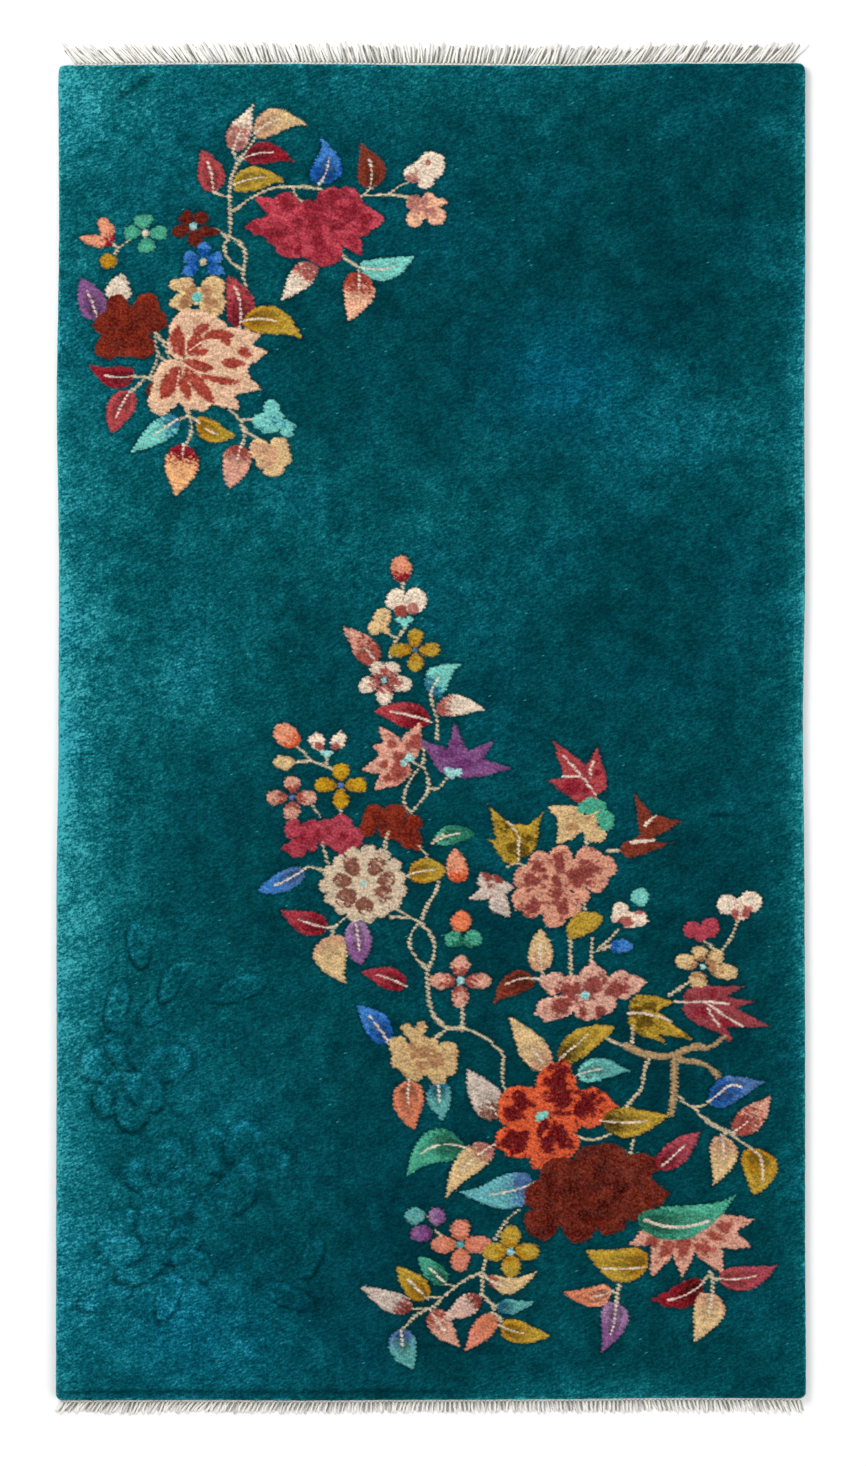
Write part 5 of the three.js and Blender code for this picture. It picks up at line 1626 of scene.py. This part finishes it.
def strand_tree():
    """The node group that lays a strand at each point."""
    tree = bpy.data.node_groups.new("Fringe strands", "GeometryNodeTree")
    for label, kind in (
        ("Roots", "Geometry"), ("Yarns", "Collection"), ("Spread", "Float"), ("Seed", "Int"),
        ("Cotton", "Material"),
    ):
        tree.interface.new_socket(label, in_out="INPUT", socket_type="NodeSocket" + kind)
    tree.interface.new_socket("Strands", in_out="OUTPUT", socket_type="NodeSocketGeometry")
    tree.is_modifier = True

    def add(kind, sockets=(), outlet=0, **settings):
        return add_node(tree, kind, sockets, **settings).outputs[outlet]

    def known(label):
        return add("GeometryNodeInputNamedAttribute", {"Name": label}, data_type="FLOAT")

    def chance(low, high, seed):
        return add("FunctionNodeRandomValue", {2: low, 3: high, "Seed": seed}, 1, data_type="FLOAT")

    def maths(operation, *values):
        return add("ShaderNodeMath", dict(enumerate(values)), operation=operation)

    given = add_node(tree, "NodeGroupInput").outputs
    stray = chance(-1, 1, given["Seed"])
    turn = add("ShaderNodeCombineXYZ", {"Z": maths("MULTIPLY_ADD", stray, given["Spread"], known("lean"))})
    next_seed = maths("ADD", given["Seed"], 7)
    long = maths("MULTIPLY", known("reach"), chance(0.86, 1.08, next_seed))
    girth = known("girth")
    size = add("ShaderNodeCombineXYZ", {"X": girth, "Y": long, "Z": girth})
    which = add("FunctionNodeRandomValue", {4: 0, 5: len(YARNS) - 1, "Seed": next_seed}, 2, data_type="INT")
    shapes = {"Collection": given["Yarns"], "Separate Children": True, "Reset Children": True}
    laying = {"Points": given["Roots"], "Instance": add("GeometryNodeCollectionInfo", shapes)}
    laying.update({"Pick Instance": True, "Instance Index": which, "Rotation": turn, "Scale": size})
    toning = {"Geometry": add("GeometryNodeInstanceOnPoints", laying), "Name": "tone", "Value": known("tone")}
    toned = add("GeometryNodeStoreNamedAttribute", toning, data_type="FLOAT", domain="INSTANCE")
    real = add("GeometryNodeRealizeInstances", {"Geometry": toned})
    dyed = add("GeometryNodeSetMaterial", {"Geometry": real, "Material": given["Cotton"]})
    add_node(tree, "NodeGroupOutput", {0: dyed})
    return tree


def strip_mesh(outward, low, high, rows):
    """The flat-woven end that holds the strands: points, faces and the painted shade at each point, darker on
    every other row of the weave.
    """
    section = ((0, 0), (0, 1.3), (0.5, 1.9), (1.6, 2), (2.7, 1.8), (3.2, 1.2), (3.2, 0))
    x = np.linspace(low, high, rows)
    inner = outward * wandered(x, outward * HALF_LONG * np.ones(rows))[1] - 1.1 + STRIP_GAP
    points, faces, valley_shades = [], [], []
    count = len(section)
    for k in range(rows):
        for across, high in section:
            points.append((x[k] / 1000, outward * (inner[k] + across) / 1000, high / 1000))
            valley_shades.append(0.15 + 0.5 * (k % 2))
    for k in range(rows - 1):
        for side in range(count):
            a, b = k * count + side, k * count + (side + 1) % count
            faces.append((a, b, b + count, a + count))
    faces.append(tuple(reversed(range(count))))
    faces.append(tuple((rows - 1) * count + side for side in range(count)))
    if outward < 0:
        faces = [tuple(reversed(face)) for face in faces]
    return points, faces, valley_shades, inner + STRIP_WIDE, x


def build_fringe(name, sizes, outward, full_reach, low, high, lies, seed, material):
    """One end's fringe: leaning strands laid by nodes, and the woven strip they grow out of."""
    strip_points, strip_faces, strip_valley_shades, wall, x = strip_mesh(outward, low, high, 2 * sizes.strands + 1)
    rng = np.random.default_rng(seed)
    # A pale strand to each warp, and between them a thin dark one that lies deeper, a painted shade for the
    # gaps between the pale strands.
    count = 2 * sizes.strands
    shares = (np.arange(count) + 0.5) / count
    pale = np.arange(count) % 2 == 0
    root_x = blend(low, high, shares) + 0.5 * (rng.random(count) - 0.5)
    root_y = np.interp(root_x, x, wall) - ROOT_DEEP
    table = np.array(lies, dtype=float)
    lean = np.radians(np.interp(shares, table[:, 0], table[:, 1]))
    reach = (full_reach - STRIP_WIDE + ROOT_DEEP) * np.interp(shares, table[:, 0], table[:, 2])
    reach = reach / np.maximum(np.cos(lean), 0.72) * np.where(pale, 1, 0.86)
    bunch = np.radians(13) * (lattice(shares * 30, 0 * shares + 0.5, seed) - 0.5) * 2
    mesh = bpy.data.meshes.new(name)
    points = [(a / 1000, outward * b / 1000, 0) for a, b in zip(root_x, root_y)]
    mesh.from_pydata(points, [], [])
    # A strand points along +Y, so at the bottom end it is turned right round.
    turned = -(lean + bunch) if outward > 0 else math.pi + lean + bunch
    girth = np.where(pale, 0.98 + 0.24 * rng.random(count), 0.58)
    # Painted shade: the thin strands take a dark tone, the pale ones a slight random one.
    gap_shade_tone = 0.75 if outward > 0 else 0.6
    tone = np.where(pale, 0.42 * rng.random(count) ** 3, gap_shade_tone + 0.25 * rng.random(count))
    mark(mesh, lean=turned, reach=reach / 1000, girth=girth, tone=tone)
    roots = placed(name + " roots", mesh)
    yarns = bpy.data.collections.new(name + " yarns")
    strand_shapes(sizes, yarns)
    tree = strand_tree()
    modifier = roots.modifiers.new("Strands", "NODES")
    modifier.node_group = tree
    values = {"Yarns": yarns, "Spread": math.radians(7), "Seed": seed, "Cotton": material}
    for item in tree.interface.items_tree:
        if item.in_out == "INPUT" and item.name in values:
            modifier[item.identifier] = values[item.name]
    bpy.context.view_layer.update()
    graph = bpy.context.evaluated_depsgraph_get()
    strands = bpy.data.meshes.new_from_object(roots.evaluated_get(graph), depsgraph=graph)
    bpy.data.objects.remove(roots)
    for shape in list(yarns.objects):
        bpy.data.objects.remove(shape)
    bpy.data.collections.remove(yarns)
    if not strands.vertices:
        raise ValueError(name + " has no strands")

    count = len(strands.vertices)
    co = np.zeros(count * 3)
    strands.vertices.foreach_get("co", co)
    faces = [tuple(p.vertices) for p in strands.polygons]
    faces += [tuple(k + count for k in f) for f in strip_faces]
    points = np.concatenate([co.reshape(-1, 3), np.array(strip_points)])
    piece_mesh = bpy.data.meshes.new(name)
    piece_mesh.from_pydata(points.tolist(), [], faces)
    piece_mesh.shade_smooth()
    tones = np.concatenate([marked(strands, "tone"), np.full(len(strip_points), STRIP_TONE)])
    valley_shades = np.concatenate([marked(strands, "valley"), np.array(strip_valley_shades)])
    mark(piece_mesh, tone=tones, valley=valley_shades)
    piece_mesh.materials.append(material)
    piece_mesh.validate()
    return placed(name, piece_mesh)


# ---- stage


FLOOR_HALF = 4
FLOOR_SINK = 0.0006  # how far the floor lies under the rug
LIGHTS = (("key light", (-1.6, 1.5, 2.6), 1.6, 62), ("fill light", (1.9, -1.2, 2.8), 2.4, 34))
SENSOR = 24  # the camera's sensor in millimetres
CAMERA_FAR = 6
VIEW_LONG = 1.466  # the length of floor that the camera sees


def build_stage(wools):
    """A plain pale floor, soft light from all round and a camera straight above."""
    mesh = bpy.data.meshes.new("floor")
    corners = [(FLOOR_HALF * x, FLOOR_HALF * y, -FLOOR_SINK) for x, y in ((-1, -1), (1, -1), (1, 1), (-1, 1))]
    mesh.from_pydata(corners, [], [(0, 1, 2, 3)])
    s = Shader("Pale floor")
    coordinates = s.add("ShaderNodeTexCoord", (), "Object")
    grain = s.noise(coordinates, 3, 2)
    colour = s.mixed(s.maths("MULTIPLY", grain, 0.04), solid(wools.floor), (0.9, 0.9, 0.9, 1))
    mesh.materials.append(s.finish({"Base Color": colour, "Roughness": 0.9, "Specular IOR Level": 0}))
    scene = bpy.context.scene
    made = [placed("floor", mesh)]
    for name, place, reach, power in LIGHTS:
        data = bpy.data.lights.new(name, "AREA")
        data.shape = "SQUARE"
        data.size = reach
        data.energy = power
        lamp = placed(name, data)
        lamp.location = place
        lamp.rotation_euler = (-Vector(place)).to_track_quat("-Z", "Y").to_euler()
        made.append(lamp)
    world = bpy.data.worlds.new("Studio")
    world.use_nodes = True
    sky = world.node_tree.nodes["Background"]
    sky.inputs["Color"].default_value = (1, 1, 1, 1)
    sky.inputs["Strength"].default_value = 0.62
    scene.world = world
    scene.view_settings.view_transform = "Standard"
    lens = bpy.data.cameras.new("overhead camera")
    lens.sensor_fit = "VERTICAL"
    lens.sensor_height = SENSOR
    lens.lens = SENSOR * CAMERA_FAR / VIEW_LONG
    camera = placed("overhead camera", lens)
    camera.location = (0.002, -0.0045, 6.01)
    scene.camera = camera
    made.append(camera)


# ---- operators and panel

drawn = {}


def shared():
    """The pile and the two finishes, made once and used by each operator."""
    scene = bpy.context.scene
    if not drawn:
        drawn["pile"] = Pile(scene.rug_sizes, scene.rug_wools)
        drawn["wool"] = pile_material(scene.rug_wools)
        drawn["cotton"] = cotton_material(scene.rug_wools)
    return drawn


class RUG_OT_ground(Operator):
    """Makes the teal pile with its rounded edges and woven back"""

    bl_idname = "rug.ground"
    bl_label = "Make the ground pile"
    bl_options = {"REGISTER", "UNDO"}

    def execute(self, context):
        made = shared()
        piece = build_ground(made["pile"], made["wool"])
        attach(piece, "root")
        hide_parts("rug_body")
        return {"FINISHED"}


class RUG_OT_sprays(Operator):
    """Knots the coloured sprays and the carved one into the ground"""

    bl_idname = "rug.sprays"
    bl_label = "Knot the sprays"
    bl_options = {"REGISTER", "UNDO"}

    def execute(self, context):
        made = shared()
        for number in range(1, len(SPRAYS) + 1):
            piece = build_spray(made["pile"], number, made["wool"])
            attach(piece, "root")
        return {"FINISHED"}


class RUG_OT_fringes(Operator):
    """Lays the cotton fringe at both ends"""

    bl_idname = "rug.fringes"
    bl_label = "Lay the fringes"
    bl_options = {"REGISTER", "UNDO"}

    def execute(self, context):
        made = shared()
        sizes = context.scene.rug_sizes
        names = [row[0] for row in SPRAYS]
        for name, node, outward, reach, low, high, lies, seed in (
            ("fringe_strands_top", "fringe_top", 1, sizes.top_fringe, -356, 362, TOP_LIE, 5),
            ("fringe_strands_bottom", "fringe_bottom", -1, sizes.bottom_fringe, -370, 371, BOTTOM_LIE, 17),
        ):
            piece = build_fringe(name, sizes, outward, 1000 * reach, low, high, lies, seed, made["cotton"])
            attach(piece, "root")
            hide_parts(node)
            names.append(name)
        return {"FINISHED"}


class RUG_OT_stage(Operator):
    """Sets the pale floor, the soft light and the overhead camera"""

    bl_idname = "rug.stage"
    bl_label = "Set the stage"
    bl_options = {"REGISTER", "UNDO"}

    def execute(self, context):
        build_stage(context.scene.rug_wools)
        return {"FINISHED"}


OPERATORS = (RUG_OT_ground, RUG_OT_sprays, RUG_OT_fringes, RUG_OT_stage)


class RUG_PT_panel(Panel):
    """Lists the rug's sizes, wools and making steps"""

    bl_idname = "RUG_PT_panel"
    bl_label = "Pile rug"
    bl_space_type = "VIEW_3D"
    bl_region_type = "UI"
    bl_category = "Rug"

    def draw(self, context):
        for group in (context.scene.rug_sizes, context.scene.rug_wools):
            for name in group.__annotations__:
                self.layout.prop(group, name)
        for operator in OPERATORS:
            self.layout.operator(operator.bl_idname)


CLASSES = (RugSizes, RugWools) + OPERATORS + (RUG_PT_panel,)


def register():
    for entry in CLASSES:
        bpy.utils.register_class(entry)
    bpy.types.Scene.rug_sizes = PointerProperty(type=RugSizes)
    bpy.types.Scene.rug_wools = PointerProperty(type=RugWools)


def unregister():
    del bpy.types.Scene.rug_wools
    del bpy.types.Scene.rug_sizes
    for entry in reversed(CLASSES):
        bpy.utils.unregister_class(entry)


def main():
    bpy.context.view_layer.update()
    register()
    bpy.ops.rug.ground()
    bpy.ops.rug.sprays()
    bpy.ops.rug.fringes()
    bpy.ops.rug.stage()


if __name__ == "__main__":
    main()
